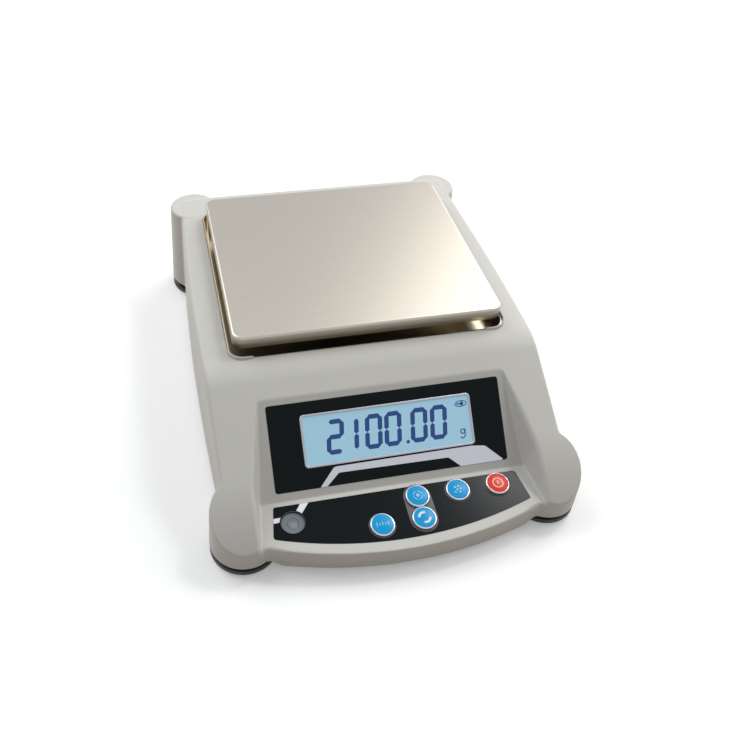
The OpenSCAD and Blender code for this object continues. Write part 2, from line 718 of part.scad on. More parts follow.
module bracket_screws() color([0.35, 0.35, 0.36])
    for (y = free_screws) translate([0, y, cell_z + cell_h - cell_thread + 1]) {
        cylinder(r = cell_screw_r, h = bracket_top - bracket_head_h - cell_z - cell_h + cell_thread);
        translate([0, 0, bracket_top - 0.2 - bracket_head_h - cell_z - cell_h + cell_thread - 1])
            cylinder(r = cell_head_r, h = bracket_head_h);
    }

// Two stops that catch the bracket's ears past the full load
module overload_stops() color([0.75, 0.62, 0.30])
    for (side = [-1, 1]) translate([side*stop_x, stop_y, base_top]) {
        cylinder(r = stop_flange[0], h = stop_flange[1]);
        cylinder(r = stop_r, h = bracket_z + spacer_h - base_top - pan_travel - 0.2);
    }

module display_film() color([0.07, 0.10, 0.11]) on_display(0, -film_t) difference() {
    translate([0, film_low + film_l/2, 0]) linear_extrude(film_t)
        rounded_rect([film_w/2, film_l/2], film_corner);
    translate([0, window_up, -1]) linear_extrude(3)
        rounded_rect(frame_half + [0.05, 0.05], window_corner + frame_w + 0.05);
}

module lcd_frame() color([0.72, 0.72, 0.72]) on_display(window_up, -film_t - 1.2)
    linear_extrude(film_t + 1.2 + 0.3) difference() {
        rounded_rect(frame_half, window_corner + frame_w);
        rounded_rect(window_half, window_corner);
    }

module lcd_glass() color([0.58, 0.73, 0.81]) on_display(window_up, -0.2 - glass_t)
    linear_extrude(glass_t) rounded_rect(window_half - [0.05, 0.05], window_corner - 0.05);

module lcd_backlight() color([0.90, 0.93, 0.95]) on_display(window_up, -0.2 - glass_t - glow_t)
    linear_extrude(glow_t - fit)
        square([2*window_half[0] - 2, 2*window_half[1] - 2], center = true);

module display_board() color([0.10, 0.35, 0.20])
    on_display(window_up, -display_board_top - board_t)
        linear_extrude(board_t) square(2*display_board_half, center = true);

module keypad_film() color([0.07, 0.10, 0.11]) on_keypad(0, 0, -film_t) difference() {
    linear_extrude(film_t) keypad_outline();
    for (p = key_places) translate([p[0], -p[1], -1]) cylinder(r = key_hole_r, h = 4);
    translate([level_x, -level_s, -1]) cylinder(r = level_r + near, h = 4);
}

// Plate round the pair of buttons in one column, and collars round the single buttons
plate_r = key_hole_r + 1.75;
plate_t = 0.3;
collar_w = 0.8;
module button_pair_plate() color([0.36, 0.38, 0.40]) {
    on_keypad(key_places[1][0], 0, 0) linear_extrude(plate_t) difference() {
        union() {
            for (s = [key_row_a, key_row_b]) translate([0, -s]) circle(plate_r);
            translate([-plate_r, -key_row_b]) square([2*plate_r, key_row_b - key_row_a]);
        }
        for (s = [key_row_a, key_row_b]) translate([0, -s]) circle(key_hole_r);
    }
    for (i = [0, 3, 4]) on_keypad(key_places[i][0], key_places[i][1], 0)
        linear_extrude(plate_t) difference() {
            circle(key_hole_r + collar_w);
            circle(key_hole_r);
        }
}

// Button: a rim round a domed face on a straight stem, with two lugs behind the keypad wall
module key_cap(i) on_keypad(key_places[i][0], key_places[i][1], 0) {
    rim_edge = 0.6;
    face_r = key_r - 0.75;
    groove = [0.12, 0.2];                 // width and depth round the face
    rotate_extrude() polygon(concat([[0, -key_down], [key_r, -key_down]],
        [for (a = [0:15:90]) [key_r - rim_edge + rim_edge*cos(a), key_up - rim_edge + rim_edge*sin(a)]],
        [[face_r + groove[0], key_up - groove[1]], [face_r, key_up - groove[1]]],
        [for (k = [0:5]) [face_r*(1 - k/5), key_up + 0.28 - 0.42*(1 - k/5)*(1 - k/5)]]));
    translate([-lug_half[0], -lug_half[1], -key_down])
        cube([2*lug_half[0], 2*lug_half[1], key_down - wall - near]);
}
module calibrate_button() color([0.10, 0.58, 0.80]) key_cap(0);
module tare_button() color([0.10, 0.58, 0.80]) key_cap(1);
module units_button() color([0.10, 0.58, 0.80]) key_cap(2);
module count_button() color([0.10, 0.58, 0.80]) key_cap(3);
module power_button() color([0.90, 0.24, 0.20]) key_cap(4);

module key_switches() color([0.15, 0.15, 0.16])
    for (p = key_places) on_keypad(p[0], p[1], -keypad_board_top) {
        translate([-3, -3, 0]) cube([6, 6, switch_h - 1]);
        cylinder(r = 1.7, h = switch_h);
    }

module keypad_board() color([0.10, 0.35, 0.20])
    on_keypad(0, 0, -keypad_board_top - board_t)
        linear_extrude(board_t)
            polygon([[board_left, -board_near], [board_right, -board_near],
                     [board_right, -board_cut_s], [board_cut_x, -board_far],
                     [board_left, -board_far]]);

module level_cup() color([0.40, 0.43, 0.45]) on_keypad(level_x, level_s, -6) difference() {
    cylinder(r = level_r, h = 6.4);
    translate([0, 0, 1]) cylinder(r = level_r - 0.8, h = 8);
}

module level_vial() color([0.70, 0.78, 0.76]) on_keypad(level_x, level_s, -5) difference() {
    cylinder(r = level_r - 0.8 - fit, h = 5);
    translate([0.8, -0.6, 3]) sphere(r = 1.6);
}

// Main circuit board under the display
board_z = 12;
board_half = [42, 20];
board_back = 26.2;                        // its middle, behind the crease
board_y = crease_y + board_back;
board_posts = [for (sx = [-1, 1]) for (sy = [-1, 1])
                   [sx*(board_half[0] - 4), board_y + sy*(board_half[1] - 4)]];
module main_board() color([0.10, 0.35, 0.20]) translate([0, board_y, board_z])
    linear_extrude(board_t) square(2*board_half, center = true);

// Chips and headers: left edge, front edge, width, length and height of each
plug_box = [6, 9, 24, 5, 5];              // the header of the flat cable
board_boxes = [[-12, -8, 14, 14, 2], [14, -6, 10, 7, 2], [-34, 8, 18, 6, 7], plug_box];
can_places = [[-32, 0], [-24, 0]];
can_r = 3.2;
can_h = 9;
module board_components() color([0.16, 0.16, 0.17])
    translate([0, board_y, board_z + board_t]) {
        for (b = board_boxes) translate([b[0], b[1], 0]) cube([b[2], b[3], b[4]]);
        for (p = can_places) translate([p[0], p[1], 0]) cylinder(r = can_r, h = can_h);
    }

// Flat cable from the main board to the display board
cable_t = 0.9;
cable_w = 20;
cable_top = 34;
// Y of the display board's back at height z
display_back = display_board_top + board_t;
function display_back_y(z) = crease_y + display_back*sin(display_tilt)
    + (z - crease_z + display_back*cos(display_tilt))/tan(display_tilt);
module ribbon_cable() color([0.70, 0.70, 0.72]) {
    y0 = board_y + plug_box[1] + plug_box[3]/2;
    z0 = board_z + board_t + plug_box[4];
    z1 = cable_top;
    y1 = display_back_y(z1 + cable_t) + near;
    translate([plug_box[0] + (plug_box[2] - cable_w)/2, 0, 0]) rotate([90, 0, 90])
        linear_extrude(cable_w)
        polygon([[y0, z0], [y0 + cable_t, z0], [y0 + cable_t, z1 + cable_t],
                 [y1, z1 + cable_t], [y1, z1], [y0, z1]]);
}

module power_jack() color([0.10, 0.10, 0.11])
    translate([jack_x, back_y - jack_z*tan(side_draft), jack_z]) rotate([90, 0, 0]) difference() {
        union() {
            translate([0, 0, -0.6]) cylinder(r = jack_r - near, h = 4);
            translate([-5.5, -6, wall + 0.4]) cube([11, 12, 11]);
        }
        difference() {
            translate([0, 0, -2]) cylinder(r = 2.8, h = 12);
            translate([0, 0, 0.6]) cylinder(r = 1, h = 12);
        }
    }

module housing_screws() color([0.30, 0.30, 0.31])
    for (p = screw_places) translate([p[0], p[1], base_z]) {
        cylinder(r = screw_head_r, h = screw_head_h - fit);
        cylinder(r = screw_r, h = screw_len);
    }

module foot_inserts() color([0.78, 0.62, 0.30])
    for (p = lobes) translate([p[0], p[1], insert_z]) difference() {
        cylinder(r = insert_r, h = insert_h);
        translate([0, 0, -1]) cylinder(r = stud_r + stud_gap, h = insert_h + 2);
    }

// Levelling wheel with a fluted edge and its screw
module foot_wheel(i) color([0.09, 0.09, 0.10]) translate([lobes[i][0], lobes[i][1], pad_h]) {
    difference() {
        cylinder(r = wheel_r, h = wheel_h);
        for (k = [0:17]) rotate(20*k) translate([wheel_r + 0.9, 0, -1])
            cylinder(r = 1.8, h = wheel_h + 2, $fn = 24);
    }
    cylinder(r = stud_r, h = stud_len);
}
module foot_pad(i) color([0.16, 0.16, 0.17]) translate([lobes[i][0], lobes[i][1], 0])
    cylinder(r = pad_r, h = pad_h);

module front_left_wheel() foot_wheel(0);
module front_right_wheel() foot_wheel(1);
module rear_left_wheel() foot_wheel(2);
module rear_right_wheel() foot_wheel(3);
module front_left_pad() foot_pad(0);
module front_right_pad() foot_pad(1);
module rear_left_pad() foot_pad(2);
module rear_right_pad() foot_pad(3);

upper_housing();
base_plate();
well_liner();
weighing_pan();
pan_support();
pan_cushions();
load_bracket();
load_cell();
load_cell_block();
load_cell_screws();
bracket_screws();
overload_stops();
display_film();
lcd_frame();
lcd_glass();
lcd_backlight();
display_board();
keypad_film();
button_pair_plate();
calibrate_button();
tare_button();
units_button();
count_button();
power_button();
key_switches();
keypad_board();
level_cup();
level_vial();
main_board();
board_components();
ribbon_cable();
power_jack();
housing_screws();
foot_inserts();
front_left_wheel();
front_right_wheel();
rear_left_wheel();
rear_right_wheel();
front_left_pad();
front_right_pad();
rear_left_pad();
rear_right_pad();
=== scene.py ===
"""Laboratory precision balance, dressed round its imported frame.

The moulded housing is an implicit solid: a signed distance worked out for whole arrays of
points, cut into a mesh by a surface net and settled onto the exact surface. Everything else
is a turned, lofted or plate-like surface. Sizes inside the classes are millimetres in the
frame's own axes, and a mesh is written in metres.
"""

import logging
import math
from dataclasses import dataclass, field
from enum import Enum
from typing import Callable, Sequence

import bmesh
import bpy
import numpy as np
from mathutils import Matrix, Vector
from mathutils.geometry import tessellate_polygon


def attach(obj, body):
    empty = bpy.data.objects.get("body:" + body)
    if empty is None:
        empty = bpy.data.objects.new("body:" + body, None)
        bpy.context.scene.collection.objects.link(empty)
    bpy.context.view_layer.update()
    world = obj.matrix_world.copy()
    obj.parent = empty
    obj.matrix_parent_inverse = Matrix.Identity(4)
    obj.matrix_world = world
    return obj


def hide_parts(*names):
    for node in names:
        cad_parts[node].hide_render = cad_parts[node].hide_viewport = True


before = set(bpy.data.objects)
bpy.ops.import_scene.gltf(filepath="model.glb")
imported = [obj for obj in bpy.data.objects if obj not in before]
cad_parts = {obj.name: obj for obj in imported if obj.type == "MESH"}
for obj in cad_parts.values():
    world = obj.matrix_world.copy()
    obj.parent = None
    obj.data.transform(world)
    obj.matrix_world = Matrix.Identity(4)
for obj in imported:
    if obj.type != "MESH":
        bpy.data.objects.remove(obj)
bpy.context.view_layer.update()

MM = 0.001
# How deep a film and a print reach below their faces, and how far a print stands up.
FILM_UNDERSIDE = -0.45
PRINT_SINK = 0.02
PRINT_RISE = 0.04
# How many times longer than wide a brushed streak is, how rough a clear coat is, and the
# broad clouds of every surface: how many there are in a metre, and their brightness.
STREAK_LENGTH = 60
COAT_ROUGHNESS = 0.08
CLOUDS = 14.0
CLOUD_SHADE = 0.93
log = logging.getLogger("balance")

Array = np.ndarray
Distance = Callable[[Array, Array, Array], Array]


def rounded_max(a: Array, b: Array, radius: float | Array) -> Array:
    """Larger of two distances, with the edge where they meet rounded off.

    Past the edge the distance is measured from a circle's centre, one radius inside both.

    Args:
        a: First distance.
        b: Second distance.
        radius: Radius of the rounded edge.

    Returns:
        The joined distance.
    """
    corner = np.hypot(np.maximum(radius + a, 0), np.maximum(radius + b, 0))
    return np.minimum(-radius, np.maximum(a, b)) + corner


def rounded_min(a: Array, b: Array, radius: float) -> Array:
    """Smaller of two distances, with the hollow corner where they meet filled.

    Args:
        a: First distance.
        b: Second distance.
        radius: Radius of the filled corner.

    Returns:
        The joined distance.
    """
    return -rounded_max(-a, -b, radius)


def rounded_rectangle(x: Array, y: Array, half: tuple[float, float], corner: float) -> Array:
    """Distance in plan from a rectangle with round corners, negative inside.

    Args:
        x: Places across.
        y: Places along.
        half: Half width and half length.
        corner: Corner radius.

    Returns:
        The distance.
    """
    dx = np.abs(x) - (half[0] - corner)
    dy = np.abs(y) - (half[1] - corner)
    outside = np.hypot(np.maximum(dx, 0), np.maximum(dy, 0))
    return outside + np.minimum(np.maximum(dx, dy), 0) - corner


def graded(stops: Sequence[tuple[float, float]]) -> Array:
    """Coordinates along one axis, finer where a stop asks for a finer pitch.

    Args:
        stops: Pairs of a place and the pitch from there to the next place.

    Returns:
        The coordinates, from the first place to the last.
    """
    parts = [
        np.linspace(a, b, max(1, round((b - a) / pitch)), endpoint=False)
        for (a, pitch), (b, _) in zip(stops, stops[1:])
    ]
    return np.append(np.concatenate(parts), stops[-1][0])


def surface_net(values: Array, axes: tuple[Array, Array, Array]) -> tuple[Array, Array]:
    """Mesh of the places where a sampled distance changes sign.

    Each cell that the surface crosses gets one vertex, the mean of the crossings on its
    edges, and each crossed grid edge gets one quad through the four cells round it.

    Args:
        values: Distances on the nodes of the grid.
        axes: Coordinates of the grid along X, Y and Z.

    Returns:
        Vertices and quads.
    """
    cells = np.array(values.shape) - 1
    size = int(cells.prod())
    inside = values < 0
    count = np.zeros(size)
    total = np.zeros((3, size))
    quads = []
    for axis in range(3):
        low = tuple(slice(None, -1) if a == axis else slice(None) for a in range(3))
        high = tuple(slice(1, None) if a == axis else slice(None) for a in range(3))
        node = np.array(np.nonzero(inside[low] != inside[high]))
        start = values[low][tuple(node)]
        share = start / (start - values[high][tuple(node)])
        point = np.array([axes[a][node[a]] for a in range(3)])
        step = axes[axis][node[axis] + 1] - axes[axis][node[axis]]
        point[axis] += share * step
        around = []
        b, c = (axis + 1) % 3, (axis + 2) % 3
        kept = np.ones(node.shape[1], bool)
        for back in ((1, 1), (0, 1), (0, 0), (1, 0)):
            cell = node.copy()
            cell[b] -= back[0]
            cell[c] -= back[1]
            good = ((cell >= 0) & (cell < cells[:, None])).all(0)
            flat = np.ravel_multi_index(tuple(np.clip(cell, 0, cells[:, None] - 1)), cells)
            count += np.bincount(flat[good], minlength=size)
            for a in range(3):
                total[a] += np.bincount(flat[good], point[a][good], minlength=size)
            around.append(flat)
            kept &= good
        ring = np.array(around).T
        outward = inside[low][tuple(node)]
        ring = np.where(outward[:, None], ring, ring[:, ::-1])
        quads.append(ring[kept])
    used = count > 0
    number = np.cumsum(used) - 1
    return (total[:, used] / count[used]).T, number[np.concatenate(quads)]


def slope_of(points: Array, distance: Distance, step: float = 0.02) -> Array:
    """Gradient of a distance by central differences.

    Args:
        points: Places, one row each.
        distance: The distance to differentiate.
        step: Half length of each difference.

    Returns:
        One gradient a row.
    """
    rows = []
    for axis in range(3):
        ahead, behind = points.copy(), points.copy()
        ahead[:, axis] += step
        behind[:, axis] -= step
        rows.append((distance(*ahead.T) - distance(*behind.T)) / (2 * step))
    return np.array(rows).T


def settle(points: Array, distance: Distance, rounds: int = 4, reach: float = 0.5,
           least_steep: float = 0.2) -> Array:
    """Move points onto the zero surface of a distance by Newton steps.

    Args:
        points: Places near the surface.
        distance: The distance whose zero surface is wanted.
        rounds: Number of steps.
        reach: Longest step.
        least_steep: Least squared slope that a step divides by.

    Returns:
        The moved places.
    """
    for _ in range(rounds):
        slope = slope_of(points, distance)
        steep = np.maximum((slope**2).sum(1), least_steep)
        shift = np.clip(distance(*points.T) / steep, -reach, reach)
        points = points - shift[:, None] * slope
    return points


def mesh_object(
    name: str, points: Array, faces: Sequence, sharp: float = 32.0, outward: bool = True
) -> bpy.types.Object:
    """New object whose mesh holds these faces, smooth but for its sharp edges.

    Args:
        name: Name of the piece.
        points: Vertices in millimetres.
        faces: Rows of vertex numbers, arrays of rows, or both.
        sharp: Angle in degrees past which an edge stays sharp.
        outward: Whether the faces are turned to point outwards.

    Returns:
        The object, at the origin.
    """
    rows: list = []
    for group in faces:
        rows.extend(np.asarray(group).tolist() if np.ndim(group) == 2 else [list(group)])
    mesh = bpy.data.meshes.new(name)
    mesh.from_pydata((np.asarray(points) * MM).tolist(), [], rows)
    mesh.validate()
    if outward:
        turn_outward(mesh)
    mesh.shade_smooth()
    mesh.set_sharp_from_angle(angle=math.radians(sharp))
    obj = bpy.data.objects.new(name, mesh)
    bpy.context.scene.collection.objects.link(obj)
    return obj


def turn_outward(mesh: bpy.types.Mesh) -> None:
    """Merge doubled vertices and point every face of a closed mesh outwards."""
    work = bmesh.new()
    work.from_mesh(mesh)
    bmesh.ops.remove_doubles(work, verts=work.verts, dist=1e-7)
    bmesh.ops.recalc_face_normals(work, faces=work.faces)
    work.to_mesh(mesh)
    work.free()


def loft(rings: Array, round_profile: bool = False) -> tuple[Array, list]:
    """Surface through a stack of closed rings.

    Args:
        rings: Points of the rings, of shape rings by points by 3.
        round_profile: Whether the last ring joins the first; if not, both ends are capped.

    Returns:
        Vertices and faces.
    """
    stack, around = rings.shape[:2]
    index = np.arange(stack * around).reshape(stack, around)
    after = np.roll(index, -1, axis=1)
    upper = np.roll(index, -1, axis=0) if round_profile else index[1:]
    upper_after = np.roll(after, -1, axis=0) if round_profile else after[1:]
    rows = len(upper)
    quads = np.stack([index[:rows], after[:rows], upper_after, upper], -1).reshape(-1, 4)
    faces: list = [quads]
    if not round_profile:
        faces += [index[0][::-1], index[-1]]
    return rings.reshape(-1, 3), faces


def turned(profile: Sequence[tuple[float, float]], steps: int, flutes: int = 0,
           depth: float = 0.0, fluted: tuple[float, float] = (0.0, 0.0)) -> Array:
    """Rings of a turned piece about Z, with optional flutes in its outer wall.

    The radius loses depth times the eighth power of a cosine of the angle, which leaves
    broad lands between narrow round flutes.

    Args:
        profile: Radius and height of each ring.
        steps: Points on a ring.
        flutes: Number of flutes.
        depth: Depth of a flute.
        fluted: Lowest radius that is fluted, and the radius where flutes are full.

    Returns:
        The rings.
    """
    rz = np.array(profile, float)
    angle = np.linspace(0, 2 * math.pi, steps, endpoint=False)
    cut = depth * np.abs(np.cos(angle * flutes / 2)) ** 8 if flutes else np.zeros(steps)
    share = np.zeros(len(rz))
    if flutes:
        share = np.clip((rz[:, 0] - fluted[0]) / (fluted[1] - fluted[0]), 0, 1)
    radius = rz[:, :1] - cut[None] * share[:, None]
    height = np.repeat(rz[:, 1:], steps, 1)
    return np.stack([radius * np.cos(angle), radius * np.sin(angle), height], -1)


def arc(centre: tuple[float, float], radius: float, start: float, stop: float,
        steps: int = 6) -> list[tuple[float, float]]:
    """Points of a circular arc.

    Args:
        centre: Centre of the circle.
        radius: Its radius.
        start: First angle in degrees.
        stop: Last angle in degrees.
        steps: Number of stretches.

    Returns:
        The points.
    """
    angle = np.radians(np.linspace(start, stop, steps + 1))
    x = centre[0] + radius * np.cos(angle)
    y = centre[1] + radius * np.sin(angle)
    return list(zip(x.tolist(), y.tolist()))


def rectangle_ring(half: tuple[float, float], corner: float, steps: int = 8) -> Array:
    """Outline of a rectangle with round corners.

    Args:
        half: Half width and half length.
        corner: Corner radius.
        steps: Stretches on each corner.

    Returns:
        Points of the outline, of shape points by 2.
    """
    reach = (half[0] - corner, half[1] - corner)
    points: list = []
    for k, (sx, sy) in enumerate(((1, 1), (-1, 1), (-1, -1), (1, -1))):
        points += arc((sx * reach[0], sy * reach[1]), corner, 90 * k, 90 * k + 90, steps)
    return np.array(points)


def rounded_outline(corners: Sequence[tuple[float, float, float]], steps: int = 5) -> Array:
    """Outline through corners, each rounded by its own radius.

    A corner's arc is a quadratic curve between the two points where its circle would touch.

    Args:
        corners: Place and radius of each corner, in order.
        steps: Stretches on each rounded corner.

    Returns:
        Points of the outline, of shape points by 2.
    """
    places = np.array([c[:2] for c in corners])
    radii = np.array([c[2] for c in corners])
    before = np.roll(places, 1, 0) - places
    after = np.roll(places, -1, 0) - places
    before_len = np.linalg.norm(before, axis=1)
    after_len = np.linalg.norm(after, axis=1)
    cosine = (before * after).sum(1) / (before_len * after_len)
    half_angle = np.arccos(np.clip(cosine, -1, 1)) / 2
    reach = np.minimum(radii / np.tan(half_angle), 0.48 * np.minimum(before_len, after_len))
    first = places + before * (reach / before_len)[:, None]
    last = places + after * (reach / after_len)[:, None]
    t = np.linspace(0, 1, steps + 1)[None, :, None]
    curve = (1 - t) ** 2 * first[:, None] + 2 * t * (1 - t) * places[:, None] + t**2 * last[:, None]
    return curve.reshape(-1, 2)


@dataclass(frozen=True)
class TiltedFace:
    """A flat face of the control bay, seen as a drawing board.

    Attributes:
        origin: A point on the face, on the crease.
        tilt: Slope in degrees, rising to the back.
        direction: 1 where lengths along it count up the slope, -1 where they count forwards.
    """

    origin: tuple[float, float, float]
    tilt: float
    direction: int = 1

    @property
    def turn(self) -> tuple[float, float]:
        """Cosine and sine of the slope."""
        angle = math.radians(self.tilt)
        return math.cos(angle), math.sin(angle)

    def place(self, across: Array, along: Array, out: Array) -> Array:
        """Points in space of places on and off the face.

        Args:
            across: Places to the right.
            along: Places along the slope.
            out: Heights off the face.

        Returns:
            The points, with X, Y and Z last.
        """
        c, s = self.turn
        across, along, out = np.broadcast_arrays(across, np.multiply(along, self.direction), out)
        return np.stack([
            self.origin[0] + across,
            self.origin[1] + along * c - out * s,
            self.origin[2] + along * s + out * c,
        ], -1)

    def stand(self, rings: Array, place: tuple[float, float]) -> Array:
        """Rings that were turned about Z, stood on a place of the face."""
        return self.place(rings[..., 0] + place[0], rings[..., 1] + place[1], rings[..., 2])

    def local(self, x: Array, y: Array, z: Array) -> tuple[Array, Array, Array]:
        """Places across, along and out of the face of points in space."""
        c, s = self.turn
        dy, dz = y - self.origin[1], z - self.origin[2]
        return x - self.origin[0], self.direction * (dy * c + dz * s), dz * c - dy * s


def plate(face: TiltedFace, outline: Array, bottom: float, top: float,
          holes: Sequence[Array] = (), soften: float = 0.0) -> tuple[Array, list]:
    """Flat plate on a tilted face, with holes and a small chamfer round its top.

    Args:
        face: The face that it lies on.
        outline: Points of its outline, of shape points by 2.
        bottom: Height of its underside off the face.
        top: Height of its top off the face.
        holes: Outlines of its holes.
        soften: Width of the chamfer on the outer edge.

    Returns:
        Vertices and faces.
    """
    loops = [np.asarray(outline), *[np.asarray(h) for h in holes]]
    inner = [inset(loops[0], soften), *loops[1:]] if soften else loops
    middle = [(loops, top - soften)] if soften else []
    levels = [(loops, bottom), *middle, (inner, top)]
    points = np.concatenate([
        face.place(ring[:, 0], ring[:, 1], height) for rings, height in levels for ring in rings
    ])
    per_level = sum(len(r) for r in loops)
    faces: list = []
    for rings, level in ((loops, 0), (inner, len(levels) - 1)):
        veclist = [[Vector((*p, 0)) for p in ring.tolist()] for ring in rings]
        tris = np.array(tessellate_polygon(veclist)) + level * per_level
        faces.append(tris)
    for level in range(len(levels) - 1):
        start = level * per_level
        for ring in loops:
            i = start + np.arange(len(ring))
            j = np.roll(i, -1)
            faces.append(np.stack([i, j, j + per_level, i + per_level], -1))
            start += len(ring)
    return points, faces


def merged(parts: Sequence[tuple[Array, list]]) -> tuple[Array, list]:
    """Several surfaces, each of vertices and faces, as one."""
    points, faces, count = [], [], 0
    for part, part_faces in parts:
        points.append(part)
        faces += [np.asarray(group) + count for group in part_faces]
        count += len(part)
    return np.concatenate(points), faces


def inset(outline: Array, distance: float) -> Array:
    """Outline moved inwards along the mean normals of its corners.

    Args:
        outline: Points of the outline.
        distance: How far it moves in.

    Returns:
        The moved points.
    """
    ahead = np.roll(outline, -1, 0) - outline
    behind = outline - np.roll(outline, 1, 0)
    tangent = ahead / np.linalg.norm(ahead, axis=1)[:, None]
    tangent = tangent + behind / np.linalg.norm(behind, axis=1)[:, None]
    tangent /= np.maximum(np.linalg.norm(tangent, axis=1), 1e-9)[:, None]
    x, y = outline.T
    side = 1.0 if np.sum(x * np.roll(y, -1) - y * np.roll(x, -1)) > 0 else -1.0
    return outline + side * distance * np.stack([-tangent[:, 1], tangent[:, 0]], -1)


def linear(code: str) -> tuple[float, float, float, float]:
    """Linear colour of an sRGB hex value.

    Args:
        code: Six hex digits.

    Returns:
        Red, green, blue and full opacity.
    """
    srgb = np.array([int(code[i:i + 2], 16) for i in (0, 2, 4)]) / 255
    low = srgb / 12.92
    high = ((srgb + 0.055) / 1.055) ** 2.4
    return (*np.where(srgb <= 0.04045, low, high).tolist(), 1.0)


def add_node(tree: bpy.types.NodeTree, kind: str, values: dict | None = None,
             links: dict | None = None, **settings: object) -> bpy.types.Node:
    """Add a node with its settings, values and incoming links.

    Args:
        tree: Node tree that gets the node.
        kind: Type of the node.
        values: Value of each named or numbered input.
        links: Output socket that feeds each named or numbered input.
        **settings: Properties of the node.

    Returns:
        The node.
    """
    node = tree.nodes.new(kind)
    for key, value in settings.items():
        setattr(node, key, value)
    for key, value in (values or {}).items():
        node.inputs[key].default_value = value
    for key, socket in (links or {}).items():
        tree.links.new(socket, node.inputs[key])
    return node


class Pattern(Enum):
    """Texture that a way of making leaves on a surface."""

    EVEN = "even"
    GRAINED = "grained"
    BRUSHED_ACROSS = "brushed across"
    BRUSHED_UP = "brushed up"
    CAST = "cast"
    WOVEN = "woven"


@dataclass(frozen=True)
class Finish:
    """A real material and how its surface was made.

    Attributes:
        name: Common name of the material and its finish.
        colour: Colour as an sRGB hex value.
        second: Colour of its darker specks or streaks, or empty for none.
        roughness: Roughness of the shader.
        spread: How much the roughness varies.
        metallic: 1 for a bare metal, less for a paint with metal in it, else 0.
        ior: Refractive index of a plastic or glass.
        coat: Strength of a clear gloss over it.
        pattern: Texture left by its making.
        size_mm: Real size of one grain or the width of one streak.
        depth_mm: Height of the texture.
        glow: Strength of its own light.
    """

    name: str
    colour: str
    second: str = ""
    roughness: float = 0.5
    spread: float = 0.06
    metallic: float = 0.0
    ior: float = 1.5
    coat: float = 0.0
    pattern: Pattern = Pattern.EVEN
    size_mm: float = 1.0
    depth_mm: float = 0.0
    glow: float = 0.0

    def stretch(self) -> tuple[float, float, float]:
        """Scale of the pattern along X, Y and Z, in grains a metre."""
        fine = 1.0 / (self.size_mm * MM)
        coarse = fine / STREAK_LENGTH
        if self.pattern is Pattern.BRUSHED_ACROSS:
            return coarse, fine, fine
        if self.pattern is Pattern.BRUSHED_UP:
            return fine, fine, coarse
        return fine, fine, fine

    def material(self) -> bpy.types.Material:
        """Material of this finish, made once."""
        known = bpy.data.materials.get(self.name)
        if known:
            return known
        made = bpy.data.materials.new(self.name)
        made.use_nodes = True
        made.diffuse_color = linear(self.colour)
        tree = made.node_tree
        shader = tree.nodes["Principled BSDF"]
        shader.inputs["Metallic"].default_value = self.metallic
        if not self.metallic:
            shader.inputs["IOR"].default_value = self.ior
        shader.inputs["Coat Weight"].default_value = self.coat
        shader.inputs["Coat Roughness"].default_value = COAT_ROUGHNESS
        place = add_node(tree, "ShaderNodeTexCoord").outputs["Object"]
        scaled = add_node(tree, "ShaderNodeMapping", {"Scale": self.stretch()}, {"Vector": place})
        kind = "ShaderNodeTexVoronoi" if self.pattern is Pattern.CAST else "ShaderNodeTexNoise"
        grain = add_node(tree, kind, {"Scale": 1.0}, {"Vector": scaled.outputs["Vector"]})
        mark = grain.outputs[0]
        broad = add_node(
            tree, "ShaderNodeTexNoise", {"Scale": CLOUDS, "Detail": 2.0}, {"Vector": place})
        rough = add_node(
            tree, "ShaderNodeMapRange",
            {"To Min": self.roughness - self.spread, "To Max": self.roughness + self.spread},
            {"Value": mark})
        tree.links.new(rough.outputs["Result"], shader.inputs["Roughness"])
        dark = linear(self.second or self.colour)
        fine_mix = add_node(
            tree, "ShaderNodeMix", {6: linear(self.colour), 7: dark}, {0: mark}, data_type="RGBA")
        shade = tuple(CLOUD_SHADE * c for c in linear(self.colour)[:3]) + (1.0,)
        amount = add_node(
            tree, "ShaderNodeMapRange", {"From Min": 0.35, "From Max": 0.75, "To Max": 0.5},
            {"Value": broad.outputs[0]})
        tone = add_node(
            tree, "ShaderNodeMix", {7: shade},
            {0: amount.outputs["Result"], 6: fine_mix.outputs[2]}, data_type="RGBA")
        tree.links.new(tone.outputs[2], shader.inputs["Base Color"])
        if self.depth_mm:
            bump = add_node(
                tree, "ShaderNodeBump", {"Strength": 1.0, "Distance": self.depth_mm * MM},
                {"Height": mark})
            tree.links.new(bump.outputs["Normal"], shader.inputs["Normal"])
        if self.glow:
            shader.inputs["Emission Color"].default_value = linear(self.colour)
            shader.inputs["Emission Strength"].default_value = self.glow
        return made


# Textured ABS: a matt skin whose fine spark grain breaks the light up softly. The real grain
# is about 0.3 mm, and it is drawn 0.8 mm wide so that it shows.
HOUSING_ABS = Finish("textured_abs_light_grey", "D4D2CC", "CDCBC4", 0.55, 0.05, ior=1.45,
                     pattern=Pattern.GRAINED, size_mm=0.8, depth_mm=0.03)
# Brushed stainless sheet: fine scratches along its width drag the highlights sideways. They
# are drawn 0.35 mm apart, coarser than the real ones.
PAN_STEEL = Finish("brushed_stainless_pan", "BCB6AC", "B2AB9F", 0.3, 0.06, 1.0,
                   pattern=Pattern.BRUSHED_ACROSS, size_mm=0.35, depth_mm=0.003)
# Polished stainless liner: a soft mirror. Its colour is tinted warm tan, a painted reflection of
# the warm surroundings that it mirrors.
LINER_STEEL = Finish("polished_stainless_liner_painted_warm_reflection", "D4C7AD", "C8BA9E", 0.22, 0.04, 1.0,
                     pattern=Pattern.BRUSHED_ACROSS, size_mm=0.6, depth_mm=0.001)
